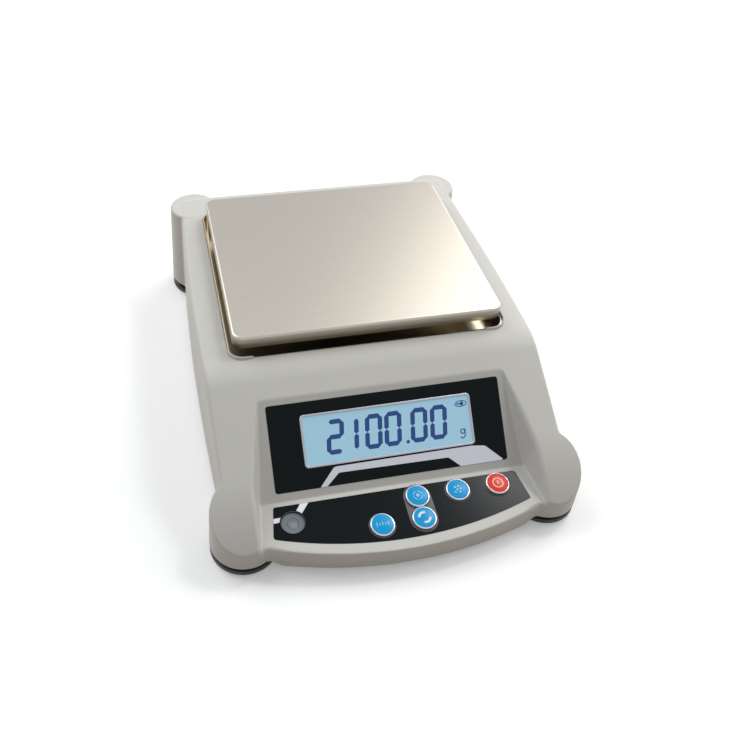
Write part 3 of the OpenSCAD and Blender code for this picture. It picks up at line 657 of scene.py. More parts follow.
# Printed polyester film: ink under a smooth glossy face.
FILM_BLACK = Finish("printed_polyester_film", "0B1315", "080F11", 0.2, 0.03, ior=1.2,
                    size_mm=0.5, depth_mm=0.002)
FILM_SILVER = Finish("silver_ink_under_film", "D2D3DA", "C8C9D0", 0.34, 0.03, 0.7,
                     size_mm=0.3)
FRAME_SILVER = Finish("silver_painted_abs_frame", "BDBEC4", "B0B1B8", 0.3, 0.04, 0.7,
                      size_mm=0.4, depth_mm=0.003)
# Liquid crystal panel: pale blue from the light behind it, flat and even.
LCD_BLUE = Finish("backlit_liquid_crystal_blue", "96BCD0", "92B7CB", 0.25, 0.02, ior=1.25,
                  size_mm=0.4, glow=0.55)
LCD_INK = Finish("liquid_crystal_segment", "34508A", "2F4A82", 0.3, 0.02, ior=1.25,
                 size_mm=0.4, glow=0.3)
# Glossy polycarbonate lenses. Their glow is painted light: nothing lights them from inside, and it
# brightens them evenly.
KEY_BLUE = Finish("glossy_blue_polycarbonate_painted_glow", "1E9CD6", "1892CC", 0.24, 0.03, ior=1.25,
                  size_mm=0.7, depth_mm=0.002, glow=0.12)
KEY_RED = Finish("glossy_red_polycarbonate_painted_glow", "E8402F", "DE3728", 0.24, 0.03, ior=1.25,
                 size_mm=0.7, depth_mm=0.002, glow=0.12)
KEY_RIM = Finish("silver_plated_abs_rim", "DADDE0", "C8CBCE", 0.2, 0.04, 0.75,
                 size_mm=0.4, depth_mm=0.002)
ICON_WHITE = Finish("white_printed_ink", "E6F0F7", "DAE7F1", 0.4, 0.03, size_mm=0.3)
ICON_PALE = Finish("pale_blue_printed_ink", "9ED2EE", "90C8E8", 0.4, 0.03, size_mm=0.3)
ICON_ROSE = Finish("pale_red_printed_ink", "F7C9C2", "F2BDB5", 0.4, 0.03, size_mm=0.3)
PLATE_GREY = Finish("grey_metallic_lacquer", "56565C", "4C4C52", 0.4, 0.04, 0.2,
                    size_mm=0.3, depth_mm=0.003)
LEVEL_RING = Finish("anodised_grey_ring", "4A4E52", "404448", 0.32, 0.05, 0.8,
                    pattern=Pattern.BRUSHED_UP, size_mm=0.3, depth_mm=0.002)
LEVEL_FLUID = Finish("level_fluid_grey_green", "848E91", "788285", 0.14, 0.02, ior=1.3,
                     size_mm=0.6)
BUBBLE = Finish("air_bubble_in_fluid", "8F9899", "868F90", 0.1, 0.02, ior=1.4)
WHEEL_BLACK = Finish("moulded_black_nylon", "1D1E20", "17181A", 0.45, 0.05, ior=1.53,
                     pattern=Pattern.GRAINED, size_mm=0.7, depth_mm=0.02)
PAD_RUBBER = Finish("matt_black_rubber", "26272A", "1E1F21", 0.78, 0.06, ior=1.52,
                    pattern=Pattern.GRAINED, size_mm=0.5, depth_mm=0.03)
BASE_STEEL = Finish("black_powder_coated_steel", "232427", "1B1C1E", 0.55, 0.06,
                    pattern=Pattern.CAST, size_mm=0.7, depth_mm=0.02)
CAST_METAL = Finish("sand_blasted_cast_aluminium", "A7A9AB", "939597", 0.5, 0.06, 1.0,
                    pattern=Pattern.CAST, size_mm=0.6, depth_mm=0.02)
MILLED_METAL = Finish("milled_aluminium_bar", "C4C6C9", "B4B6B9", 0.32, 0.06, 1.0,
                      pattern=Pattern.BRUSHED_ACROSS, size_mm=0.5, depth_mm=0.003)
SCREW_STEEL = Finish("zinc_plated_steel", "9A9DA1", "83868A", 0.3, 0.06, 1.0,
                     pattern=Pattern.BRUSHED_UP, size_mm=0.3, depth_mm=0.003)
BRASS = Finish("turned_brass", "C9A34E", "B8923F", 0.3, 0.05, 1.0,
               pattern=Pattern.BRUSHED_ACROSS, size_mm=0.3, depth_mm=0.003)
BOARD_GREEN = Finish("green_solder_mask_board", "1E5A36", "184C2D", 0.35, 0.05, ior=1.5,
                     coat=0.3, pattern=Pattern.WOVEN, size_mm=0.5, depth_mm=0.004)
COMPONENT_BLACK = Finish("moulded_epoxy_black", "232426", "1B1C1D", 0.5, 0.05,
                         pattern=Pattern.GRAINED, size_mm=0.4, depth_mm=0.01)
GLOW_WHITE = Finish("opal_acrylic_light_guide", "E8EEF2", "DFE6EB", 0.3, 0.03, ior=1.49,
                    size_mm=0.5)
CABLE_GREY = Finish("grey_ribbon_pvc", "A9AAAC", "97989A", 0.5, 0.05,
                    pattern=Pattern.BRUSHED_UP, size_mm=1.27, depth_mm=0.1)
JACK_BLACK = Finish("black_glass_filled_nylon", "1B1C1E", "141516", 0.42, 0.05,
                    pattern=Pattern.GRAINED, size_mm=0.4, depth_mm=0.01)


def dress(obj: bpy.types.Object, finish: Finish) -> bpy.types.Object:
    """Give every face of an object one finish."""
    material = finish.material()
    if obj.data.materials:
        for i in range(len(obj.data.materials)):
            obj.data.materials[i] = material
    else:
        obj.data.materials.append(material)
    return obj


def fit_piece(obj: bpy.types.Object, finish: Finish, body: str,
              replaces: str = "") -> bpy.types.Object:
    """Dress a new piece and tie it to the frame.

    Args:
        obj: The piece.
        finish: Its finish.
        body: Body that it rides on.
        replaces: Node that it stands for, or empty for none.

    Returns:
        The piece.
    """
    dress(obj, finish)
    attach(obj, body)
    if replaces:
        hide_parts(replaces)
    triangles = sum(len(p.vertices) - 2 for p in obj.data.polygons)
    log.info("%s: %d triangles, %s, on %s", obj.name, triangles, finish.name, body)
    return obj


def add_piece(name: str, surface: tuple[Array, Sequence], finish: Finish, body: str,
              replaces: str = "", sharp: float = 32.0) -> bpy.types.Object:
    """Make a piece from vertices and faces, dress it and tie it to the frame.

    Args:
        name: Name of the piece.
        surface: Its vertices and faces.
        finish: Its finish.
        body: Body that it rides on.
        replaces: Node that it stands for, or empty for none.
        sharp: Angle in degrees past which an edge stays sharp.

    Returns:
        The piece.
    """
    return fit_piece(mesh_object(name, *surface, sharp=sharp), finish, body, replaces)


@dataclass
class Bay:
    """Control bay cut into the front slope: two flat faces and flared sides."""

    front_y: float = -141.0
    crease_back: float = 38.8
    crease_height: float = 20.6
    display_tilt: float = 44.0
    keypad_tilt: float = 6.0
    top_half: float = 71.5
    crease_half: float = 76.8
    front_half: float = 81.4
    flare: float = 9.5
    top_reach: float = 40.56
    crease_round: float = 0.3
    side_round: float = 0.9

    @property
    def crease_y(self) -> float:
        """Place of the crease between the faces."""
        return self.front_y + self.crease_back

    @property
    def display(self) -> TiltedFace:
        """Display face, with lengths counted up the slope."""
        return TiltedFace((0.0, self.crease_y, self.crease_height), self.display_tilt)

    @property
    def keypad(self) -> TiltedFace:
        """Keypad face, with lengths counted forwards."""
        return TiltedFace((0.0, self.crease_y, self.crease_height), self.keypad_tilt, -1)

    def air(self, x: Array, y: Array, z: Array) -> Array:
        """Distance from the space over the faces, negative in it.

        The space is above both faces and between two planes that lean outwards.

        Args:
            x: Places across.
            y: Places along.
            z: Heights.

        Returns:
            The distance.
        """
        above_display = -self.display.local(x, y, z)[2]
        above_keypad = -self.keypad.local(x, y, z)[2]
        faces = rounded_max(above_display, above_keypad, self.crease_round)
        behind = y - self.crease_y
        half = self.crease_half + np.where(
            behind > 0,
            (self.top_half - self.crease_half) * behind / self.top_reach,
            (self.crease_half - self.front_half) * behind / self.crease_back)
        rise = np.tan(np.radians(np.where(behind > 0, self.display_tilt, self.keypad_tilt)))
        height = z - self.crease_height - behind * rise
        lean = math.radians(self.flare)
        sides = (np.abs(x) - half - height * math.tan(lean)) * math.cos(lean)
        return rounded_max(faces, sides, self.side_round)


@dataclass
class Housing:
    """Moulded upper housing: a thin shell with corner lobes, a pan well and a control bay."""

    bay: Bay
    length: float = 282.0
    lobe_x: float = 87.0
    lobe_radius: float = 19.1
    lobe_draft: float = 3.0
    front_lobe_back: float = 28.8
    back_wall_set: float = 9.7
    side_half: float = 100.8
    side_draft: float = 2.0
    side_bow: float = 1900.0
    widest_y: float = 17.4
    front_bow: float = 237.0
    front_draft: float = 0.3
    rim: float = 3.6
    wall: float = 2.5
    deck: float = 68.1
    lobe_step: float = 1.8
    bend_back: float = 105.2
    bend_radius: float = 38.0
    slope: float = 26.0
    nose_radius: float = 122.0
    nose_back: float = 42.4
    crown: float = 2.4
    crown_from: float = 68.0
    crown_width: float = 30.0
    pan_y: float = 37.4
    well_half: tuple[float, float] = (82.6, 73.2)
    well_corner: float = 9.0
    well_depth: float = 12.7
    well_round: float = 0.8
    post_hole: float = 14.0
    lip: float = 1.4
    lip_reach: float = 15.0
    lip_round: float = 0.6
    lip_end_round: float = 0.7
    lip_join: float = 0.5
    edge_round: float = 2.0
    edge_from: float = -100.0
    edge_over: float = 40.0
    lobe_edge_round: float = 0.8
    rear_edge_round: float = 1.5
    top_crest: float = 0.25
    front_crest: float = 0.8
    side_crest: float = 2.2
    crest_from: float = 64.0
    crest_over: float = 8.0
    crest_top: float = -62.0
    crest_down: float = 22.0
    lift_from: float = 7.0
    lift_over: float = 6.0
    front_lift: float = 3.0
    rear_lift: float = 4.0
    tray_half: float = 76.0
    tray_over: float = 2.0
    rim_round: float = 0.8
    rim_edge_round: float = 0.5
    inner_round: float = 0.3
    groove_round: float = 1.2
    window_half: tuple[float, float] = (49.0, 14.2)
    window_corner: float = 2.0
    window_up: float = 30.7
    jack: tuple[float, float, float] = (34.0, 20.0, 4.6)
    jack_from: float = 100.0
    hole_reach: float = 12.0
    round_holes: tuple[tuple[float, float, float], ...] = ()
    share_kept: float = 0.42

    @property
    def front_lobe(self) -> tuple[float, float]:
        """Place of the right front lobe."""
        return self.lobe_x, -self.length / 2 + self.front_lobe_back

    @property
    def rear_lobe(self) -> tuple[float, float]:
        """Place of the right rear lobe."""
        return self.lobe_x, self.length / 2 - self.lobe_radius

    def deck_line(self, y: Array) -> tuple[Array, Array]:
        """Height and slope angle of the deck at mid width.

        From the back it is flat, bends down on a circle, runs straight down and rounds off
        on the circle of the nose.

        Args:
            y: Places along the housing.

        Returns:
            Heights, and slopes in radians.
        """
        front = -self.length / 2
        bend_y = front + self.bend_back
        angle = math.radians(self.slope)
        end_y = bend_y - self.bend_radius * math.sin(angle)
        end_z = self.deck - self.bend_radius * (1 - math.cos(angle))
        nose_y = front + self.nose_back
        nose_z = end_z - (end_y - nose_y) * math.tan(angle)
        bend = np.arcsin(np.clip((bend_y - y) / self.bend_radius, 0, math.sin(angle)))
        nose = np.arcsin(np.clip(math.sin(angle) + (nose_y - y) / self.nose_radius, -1, 0.95))
        height = np.select(
            [y >= bend_y, y >= end_y, y >= nose_y],
            [self.deck + 0 * y, self.deck - self.bend_radius * (1 - np.cos(bend)),
             end_z - (end_y - y) * math.tan(angle)],
            nose_z - self.nose_radius * (math.cos(angle) - np.cos(nose)))
        return height, np.where(y >= nose_y, bend, nose)

    def deck_distance(self, x: Array, y: Array, z: Array) -> Array:
        """Distance above the deck, which also falls away a little near its sides."""
        height, angle = self.deck_line(y)
        fall = self.crown * (np.maximum(0, np.abs(x) - self.crown_from) / self.crown_width) ** 1.6
        return (z - height + fall) * np.cos(angle)

    def post(self, x: Array, y: Array, z: Array, place: tuple[float, float]) -> Array:
        """Distance from a round corner lobe whose wall leans in."""
        lean = math.radians(self.lobe_draft)
        radius = self.lobe_radius - (z - self.rim) * math.tan(lean)
        return (np.hypot(np.abs(x) - place[0], y - place[1]) - radius) * math.cos(lean)

    def walls(self, x: Array, y: Array, z: Array) -> Array:
        """Distance from the bowed sides, the bowed front and the flat back."""
        up = z - self.rim
        lean = math.tan(math.radians(self.side_draft))
        side_x = np.abs(x) + self.side_bow - self.side_half
        side = np.hypot(side_x, y - self.widest_y) - (self.side_bow - up * lean)
        bow_y = y + self.length / 2 - self.front_bow
        bow_radius = self.front_bow - up * math.tan(math.radians(self.front_draft))
        bow = np.hypot(x, bow_y) - bow_radius
        bow = np.where(bow_y < 0, bow, -50.0)
        back = y - (self.length / 2 - self.back_wall_set - up * lean)
        return np.maximum(np.maximum(side, bow), back)

    def well(self, x: Array, y: Array, z: Array) -> Array:
        """Distance from the space of the pan well."""
        plan = rounded_rectangle(x, y - self.pan_y, self.well_half, self.well_corner)
        return rounded_max(plan, self.deck - self.well_depth - z, self.well_round)

    def lips(self, x: Array, y: Array, z: Array) -> Array:
        """Distance from the raised lips round the front corners of the well."""
        plan = rounded_rectangle(x, y - self.pan_y, self.well_half, self.well_corner)
        ring = np.maximum(plan - self.lip, -plan - 0.3)
        top = z - self.deck - self.lip
        lip = rounded_max(ring, top, self.lip_round)
        start_x = self.well_half[0] + self.lip - self.lip_reach
        stop_y = self.pan_y - self.well_half[1] + self.lip_reach
        lip = rounded_max(lip, start_x - np.abs(x), self.lip_end_round)
        return rounded_max(lip, y - stop_y, self.lip_end_round)

    def tray(self, x: Array, y: Array, z: Array, plan: Array) -> Array:
        """Distance from the block that brings the front wall up to the keypad face.

        It has the plan of the body, stops at the crease, and stands a little over the face,
        where the space of the bay cuts it off.

        Args:
            x: Places across.
            y: Places along.
            z: Heights.
            plan: Distance from the walls.

        Returns:
            The distance.
        """
        above = self.bay.keypad.local(x, y, z)[2] - self.tray_over
        ends = np.maximum(np.abs(x) - self.tray_half, y - self.bay.crease_y)
        return np.maximum(np.maximum(plan, above), ends)

    def crest(self, x: Array, y: Array) -> Array:
        """Radius of the bay's outer edge: crisp at the top, softer in front, full at the sides."""
        middle = np.where(y < self.bay.crease_y, self.front_crest, self.top_crest)
        share = np.clip((np.abs(x) - self.crest_from) / self.crest_over, 0, 1)
        share = share * np.clip((self.crest_top - y) / self.crest_down, 0, 1)
        return middle + (self.side_crest - middle) * share

    def rim_line(self, x: Array, y: Array) -> Array:
        """Height of the lower rim, which rises over each lobe's wheel by a smooth step."""
        across = np.abs(x) - self.lobe_x
        front = np.hypot(across, y + self.length / 2 - self.front_lobe_back)
        rear = np.hypot(across, y - self.length / 2 + self.lobe_radius)
        inside = self.lobe_radius + self.lift_from - np.minimum(front, rear)
        near = np.clip(inside / self.lift_over, 0, 1)
        lift = np.where(y < 0, self.front_lift, self.rear_lift)
        return self.rim + lift * near * near * (3 - 2 * near)

    def skin(self, x: Array, y: Array, z: Array) -> Array:
        """Distance from the outer skin, as if the housing were solid and had no floor."""
        front = self.post(x, y, z, self.front_lobe)
        plan = rounded_min(self.walls(x, y, z), front, self.groove_round)
        share = np.clip((y - self.edge_from) / self.edge_over, 0, 1)
        edge = self.lobe_edge_round + (self.edge_round - self.lobe_edge_round) * share
        body = rounded_max(plan, self.deck_distance(x, y, z), edge)
        rear_top = z - self.deck + self.lobe_step
        rear = rounded_max(self.post(x, y, z, self.rear_lobe), rear_top, self.rear_edge_round)
        body = rounded_min(body, rear, self.groove_round)
        body = np.minimum(body, self.tray(x, y, z, plan))
        body = rounded_max(body, -self.bay.air(x, y, z), self.crest(x, y))
        body = rounded_min(body, self.lips(x, y, z), self.lip_join)
        return rounded_max(body, -self.well(x, y, z), self.rim_round)

    def distance(self, x: Array, y: Array, z: Array) -> Array:
        """Distance from the moulded shell: its skin, hollowed out and pierced.

        Args:
            x: Places across.
            y: Places along.
            z: Heights.

        Returns:
            The distance, negative in the plastic.
        """
        skin = self.skin(x, y, z)
        shell = rounded_max(skin, -(skin + self.wall), self.inner_round)
        shell = rounded_max(shell, self.rim_line(x, y) - z, self.rim_edge_round)
        holes = [np.hypot(x, y - self.pan_y) - self.post_hole]
        across, up, out = self.bay.display.local(x, y, z)
        window = rounded_rectangle(
            across, up - self.window_up, self.window_half, self.window_corner)
        holes.append(np.maximum(window, np.abs(out) - self.hole_reach))
        across, along, out = self.bay.keypad.local(x, y, z)
        for place_x, place_s, radius in self.round_holes:
            hole = np.hypot(across - place_x, along - place_s) - radius
            holes.append(np.maximum(hole, np.abs(out) - self.hole_reach))
        barrel = np.hypot(x - self.jack[0], z - self.jack[1]) - self.jack[2]
        holes.append(np.maximum(barrel, self.jack_from - y))
        for hole in holes:
            shell = np.maximum(shell, -hole)
        return shell

    def grid(self) -> tuple[Array, Array, Array]:
        """Grid coordinates, finer at the edges of the well, the bay, the rims and the lobes."""
        half = graded(((0, 3.0), (24, 1.6), (44, 3.0), (64, 1.3), (71, 0.6), (86, 1.0),
                       (107.5, 1.0)))
        xs = np.concatenate([-half[:0:-1], half]) + 0.013
        ys = graded(((-142.3, 0.7), (-124, 1.0), (-105, 0.45), (-99, 1.2), (-64, 0.4), (-59, 1.6),
                     (-39, 0.6), (-23, 3.2), (100, 0.7), (113, 1.0), (142.3, 1.0)))
        zs = graded(((2.2, 0.7), (9.2, 1.3), (13, 0.7), (24, 1.1), (56, 0.5), (70.7, 1.0)))
        return xs, ys, zs

    def build(self) -> bpy.types.Object:
        """Mesh the shell and give it normals from the slope of the distance."""
        axes = self.grid()
        points, quads = surface_net(self.distance(*np.ix_(*axes)), axes)
        points = settle(points, self.distance, 3)
        raw = mesh_object("housing_raw", points, [quads], outward=False)
        thin = raw.modifiers.new("thin", "DECIMATE")
        thin.ratio = self.share_kept
        graph = bpy.context.evaluated_depsgraph_get()
        mesh = bpy.data.meshes.new_from_object(raw.evaluated_get(graph))
        bpy.data.objects.remove(raw)
        mesh.name = "upper_housing_shell"
        flat = np.zeros(3 * len(mesh.vertices), np.float32)
        mesh.vertices.foreach_get("co", flat)
        points = settle(flat.reshape(-1, 3).astype(float) / MM, self.distance, 3)
        mesh.vertices.foreach_set("co", (points * MM).astype(np.float32).ravel())
        normals = slope_of(points, self.distance)
        normals /= np.linalg.norm(normals, axis=1)[:, None]
        mesh.shade_smooth()
        mesh.normals_split_custom_set_from_vertices(normals.tolist())
        obj = bpy.data.objects.new("upper_housing_shell", mesh)
        bpy.context.scene.collection.objects.link(obj)
        return fit_piece(obj, HOUSING_ABS, "housing", "upper_housing")


@dataclass
class WeighingPan:
    """Pan folded from one stainless sheet, with soft corners and a deep skirt."""

    half: tuple[float, float] = (80.0, 70.0)
    middle_y: float = 37.4
    top: float = 80.0
    skirt: float = 7.8
    sheet: float = 0.8
    corner: float = 6.5
    edge: float = 1.3

    def build(self) -> bpy.types.Object:
        """Loft the pan: out across the top, round the edge, down the skirt and back inside."""
        low = self.top - self.skirt
        angles = np.radians(np.linspace(90, 0, 9))
        edge, bend_z = self.edge, self.top - self.edge
        outer = [(edge - edge * math.cos(a), bend_z + edge * math.sin(a)) for a in angles]
        inner_edge = edge - self.sheet
        inner = [(edge - inner_edge * math.cos(a), bend_z + inner_edge * math.sin(a))
                 for a in angles[::-1]]
        profile = [(12.0, self.top), (self.edge + 0.3, self.top), *outer,
                   (0.0, low + 0.25), (0.25, low),
                   (self.sheet - 0.25, low), (self.sheet, low + 0.25),
                   *inner, (self.edge + 0.3, self.top - self.sheet), (12.0, self.top - self.sheet)]
        rings = []
        for depth, height in profile:
            corner = max(self.corner - depth, 1.0)
            ring = rectangle_ring((self.half[0] - depth, self.half[1] - depth), corner, 10)
            rings.append(np.column_stack([ring[:, 0], ring[:, 1] + self.middle_y,
                                          np.full(len(ring), height)]))
        return add_piece("weighing_pan_sheet", loft(np.array(rings)), PAN_STEEL, "pan",
                         "weighing_pan", 60)


@dataclass
class Display:
    """Display window: film with its silver band, frame, panel and segments."""

    face: TiltedFace
    film_half: tuple[float, float] = (67.5, 24.0)
    film_up: float = 28.6
    film_top: float = 0.12
    window_half: tuple[float, float] = (48.2, 13.4)
    window_up: float = 30.7
    frame_width: float = 1.4
    frame_top: float = 0.35
    glass_top: float = -0.2
    slant: float = 0.098
    digit_low: float = 21.5
    digit_height: float = 19.3
    digit_width: float = 10.0
    stroke: float = 2.6
    cells: tuple[float, ...] = (-36.6, -28.2, -14.6, -3.4, 11.9, 23.5)
    point_place: tuple[float, float] = (10.2, 1.1)
    point_half: tuple[float, float] = (0.95, 0.95)
    print_sink: float = 0.01
    print_rise: float = 0.03

    def window_grown(self, by: float) -> tuple[float, float]:
        """Half width and half height of the window, grown by a margin."""
        return self.window_half[0] + by, self.window_half[1] + by

    def film(self) -> bpy.types.Object:
        """Black film with rounded corners and an opening for the frame."""
        outline = rectangle_ring(self.film_half, 1.6) + [0, self.film_up]
        opening = rectangle_ring(self.window_grown(self.frame_width - 0.3), 2.4)
        surface = plate(self.face, outline, FILM_UNDERSIDE, self.film_top,
                        [opening + [0, self.window_up]], 0.08)
        return add_piece("display_film_sheet", surface, FILM_BLACK, "housing",
                         "display_film")

    def band(self) -> bpy.types.Object:
        """Silver band that climbs from the film's lower edge and runs under the window."""
        low = self.film_up - self.film_half[1] + 0.1
        corners = [(-42.4, low, 0), (-33.4, 14.9, 3.0), (46.5, 15.3, 2.0), (54.8, 14.3, 3.0),
                   (64.6, low + 0.6, 0.6), (64.0, low, 0.3), (39.2, low, 0), (32.4, 10.6, 2.0),
                   (-31.2, 11.3, 2.4), (-38.6, low, 0)]
        surface = plate(self.face, rounded_outline(corners), self.film_top - PRINT_SINK,
                        self.film_top + PRINT_RISE)
        return add_piece("display_silver_band", surface, FILM_SILVER, "housing")

    def frame(self) -> bpy.types.Object:
        """Moulded frame round the panel, with a rounded face and a chamfer to the glass."""
        w = self.frame_width
        profile = [(w, -1.6), (w, self.frame_top - 0.35), (w - 0.15, self.frame_top - 0.1),
                   (w - 0.4, self.frame_top), (0.45, self.frame_top), (0.2, self.frame_top - 0.12),
                   (0.0, self.glass_top - 0.1), (0.0, -1.6)]
        rings = []
        for grow, height in profile:
            ring = rectangle_ring(self.window_grown(grow), 1.0 + grow)
            rings.append(self.face.place(ring[:, 0], ring[:, 1] + self.window_up, height))
        return add_piece("lcd_frame_moulding", loft(np.array(rings), True), FRAME_SILVER,
                         "housing", "lcd_frame", 50)

    def panel(self) -> bpy.types.Object:
        """Liquid crystal panel behind the frame."""
        outline = rectangle_ring(self.window_grown(0.6), 1.0) + [0, self.window_up]
        surface = plate(self.face, outline, self.glass_top - 2.3, self.glass_top)
        return add_piece("lcd_panel", surface, LCD_BLUE, "housing", "lcd_glass")

    def stroke_shape(self, start: tuple[float, float], stop: tuple[float, float],
                     width: float) -> Array:
        """Outline of one segment: a bar with pointed ends.

        Args:
            start: One end, in the digit's own upright box.
            stop: The other end.
            width: Width of the bar.

        Returns:
            Six points.
        """
        a, b = np.array(start), np.array(stop)
        along = (b - a) / np.linalg.norm(b - a)
        side = np.array([-along[1], along[0]]) * width / 2
        point = along * width * 0.42
        return np.array([a, a + point + side, b - point + side, b, b - point - side,
                         a + point - side])

    def segments(self, reading: str) -> bpy.types.Object:
        """All lit segments of the reading, as one thin raised print.

        Each character has a seven-stroke box, and the row leans to the right.

        Args:
            reading: Digits with one point, such as 2100.00.

        Returns:
            The piece.
        """
        lit = {"0": "abcdef", "1": "bc", "2": "abdeg", "3": "abcdg", "4": "bcfg", "5": "acdfg",
               "6": "acdefg", "7": "abc", "8": "abcdefg", "9": "abcdfg"}
        w, h, t = self.digit_width, self.digit_height, self.stroke
        left, right, low, mid, high = t / 2, w - t / 2, t / 2, h / 2, h - t / 2
        ends = {"a": ((left, high), (right, high)), "g": ((left, mid), (right, mid)),
                "d": ((left, low), (right, low)), "f": ((left, mid), (left, high)),
                "b": ((right, mid), (right, high)), "e": ((left, low), (left, mid)),
                "c": ((right, low), (right, mid))}
        digits = zip(self.cells, reading.replace(".", ""))
        shapes = [self.stroke_shape(*ends[key], t) + [cell, 0]
                  for cell, digit in digits for key in lit[digit]]
        shapes.append(rectangle_ring(self.point_half, 0.6, 3) + self.point_place)
        return self.printed("lcd_digits", [self.lean(s + [0, self.digit_low]) for s in shapes])

    def lean(self, outline: Array) -> Array:
        """Slant an outline as the digits are slanted."""
        moved = outline.copy()
        moved[:, 0] += (outline[:, 1] - self.digit_low) * self.slant
        return moved

    def printed(self, name: str, shapes: Sequence[Array]) -> bpy.types.Object:
        """Thin print on the panel made of several outlines."""
        low, high = self.glass_top - self.print_sink, self.glass_top + self.print_rise
        prints = [plate(self.face, outline, low, high) for outline in shapes]
        return add_piece(name, merged(prints), LCD_INK, "housing")

    def signs(self) -> bpy.types.Object:
        """Small steady sign in its oval, and the gram sign."""
        shapes = []
        turn = np.radians(np.linspace(0, 360, 33))
        for start in range(0, 32, 8):
            t = turn[start:start + 9]
            outer = np.column_stack([3.6 * np.cos(t), 1.85 * np.sin(t)])
            inner = np.column_stack([3.1 * np.cos(t), 1.35 * np.sin(t)])
            shapes.append(np.concatenate([outer, inner[::-1]]) + [42.0, 39.8])
        shapes.append(np.array(arc((42.5, 39.8), 1.15, 0, 345, 16)))
        shapes.append(rectangle_ring((0.9, 0.42), 0.15, 2) + [40.3, 39.8])
        shapes.append(bent_bar(1.2, 0.6, 0, 350, 18) + [42.7, 24.1])
        shapes.append(rectangle_ring((0.3, 2.0), 0.1, 2) + [44.15, 23.5])
        shapes.append(bent_bar(1.3, 0.6, 200, 360, 10) + [42.7, 21.6])
        return self.printed("lcd_signs", [self.lean(s) for s in shapes])

    def build(self) -> None:
        """Make every piece of the display."""
        self.film()
        self.band()
        self.frame()
        self.panel()
        self.segments("2100.00")
        self.signs()


def bent_bar(radius: float, width: float, start: float, stop: float, steps: int = 14) -> Array:
    """Outline of a bar bent on a circle, between two angles in degrees."""
    outer = arc((0, 0), radius + width / 2, start, stop, steps)
    return np.array(outer + arc((0, 0), radius - width / 2, stop, start, steps))


class Icon(Enum):
    """Generic sign printed on a button."""

    TARGET = "target"
    CYCLE = "cycle"
    MARKS = "marks"
    DOTS = "dots"
    POWER = "power"


def icon_shapes(icon: Icon) -> list[Array]:
    """Outlines of a sign, about 6 mm across.

    Args:
        icon: Which sign.

    Returns:
        The outlines.
    """
    if icon is Icon.POWER:
        ring = [bent_bar(2.85, 0.8, start, start + 178) for start in (0, 180)]
        return ring + [rectangle_ring((0.42, 1.15), 0.3, 3) + [0, 0.2]]
    if icon is Icon.CYCLE:
        arrow = np.array([(0.0, 0.95), (1.15, 0.0), (0.0, -0.95)])
        shapes = []
        for turn in (0.0, math.pi):
            spin = np.array([[math.cos(turn), math.sin(turn)], [-math.sin(turn), math.cos(turn)]])
            shapes.append(bent_bar(3.0, 1.3, 88, 172) @ spin)
            shapes.append((arrow @ np.array([[0.97, -0.24], [0.24, 0.97]]) + [0.2, 3.0]) @ spin)
        return shapes
    if icon is Icon.MARKS:
        marks = ((-3.1, 2.0), (-1.55, 1.2), (0.0, 2.0), (1.55, 1.2), (3.1, 2.0))
        ticks = [rectangle_ring((0.27, high / 2), 0.14, 2) + [place, high / 2 - 0.65]
                 for place, high in marks]
        return [rectangle_ring((3.5, 0.27), 0.14, 2) + [0, -1.0], *ticks]
    if icon is Icon.DOTS:
        places = [(-1.5, 1.3), (0.4, 1.7), (-0.6, -0.3), (1.5, 0.0), (0.6, -1.9), (-2.0, -1.7)]
        return [np.array(arc(p, 0.62, 0, 337.5, 15)) for p in places]
    ring = [bent_bar(2.5, 0.45, start, start + 70) for start in (10, 100, 190, 280)]
    return [*ring, np.array(arc((0, 0), 1.0, 0, 345, 23))]


@dataclass
class Button:
    """One round button: a plated body, a coloured lens and a printed sign."""

    name: str
    place: tuple[float, float]
    face: TiltedFace
    lens: Finish
    slot: str
    icon: Icon
    ink: Finish
    radius: float = 6.78
    rise: float = 2.0
    lens_radius: float = 6.05
    rim_round: float = 0.7
    depth: float = 4.0
    crown: float = 0.28
    dome: float = 0.42
    ink_sink: float = 0.05
    ink_rise: float = 0.035

    def lens_height(self, radius: Array) -> Array:
        """Height of the domed lens at a radius: a shallow parabola."""
        return self.rise + self.crown - self.dome * (radius / self.lens_radius) ** 2

    def build(self) -> None:
        """Make the body, the lens and the sign."""
        body = self.name + "_key"
        r, up, lens = self.radius, self.rise, self.lens_radius
        e = self.rim_round
        profile = [(0.2, -self.depth), (r - 0.3, -self.depth), (r, -self.depth + 0.3), (r, up - e)]
        profile += [(r - e + e * math.cos(a), up - e + e * math.sin(a))
                    for a in np.radians(np.linspace(12, 90, 8))]
        profile += [(lens + 0.02, up), (lens, up - 0.25), (0.2, up - 0.25)]
        rings = self.face.stand(turned(profile, 72), self.place)
        add_piece(self.name + "_button_body", loft(rings), KEY_RIM, body,
                  self.name + "_button", 50)
        reach = np.array([0.1, 1.5, 3.0, 4.6, 5.4, 5.85, lens - 0.03])
        high = self.lens_height(reach)
        high[-1] -= 0.12
        profile = [*zip(reach, high), (lens - 0.03, up - 0.24), (0.1, up - 0.24)]
        rings = self.face.stand(turned(profile, 72), self.place)
        add_piece(self.name + "_button_lens", loft(rings), self.lens, body, sharp=60)
        self.sign(body)

    def sign(self, body: str) -> None:
        """Print the sign as a thin layer that follows the dome."""
        flat = TiltedFace((0, 0, 0), 0)
        prints = []
        for outline in icon_shapes(self.icon):
            points, faces = plate(flat, outline * [1, -1], -self.ink_sink, self.ink_rise)
            points[:, 2] += self.lens_height(np.hypot(points[:, 0], points[:, 1]))
            prints.append((self.face.stand(points, self.place), faces))
        add_piece(self.name + "_button_sign", merged(prints), self.ink, body)


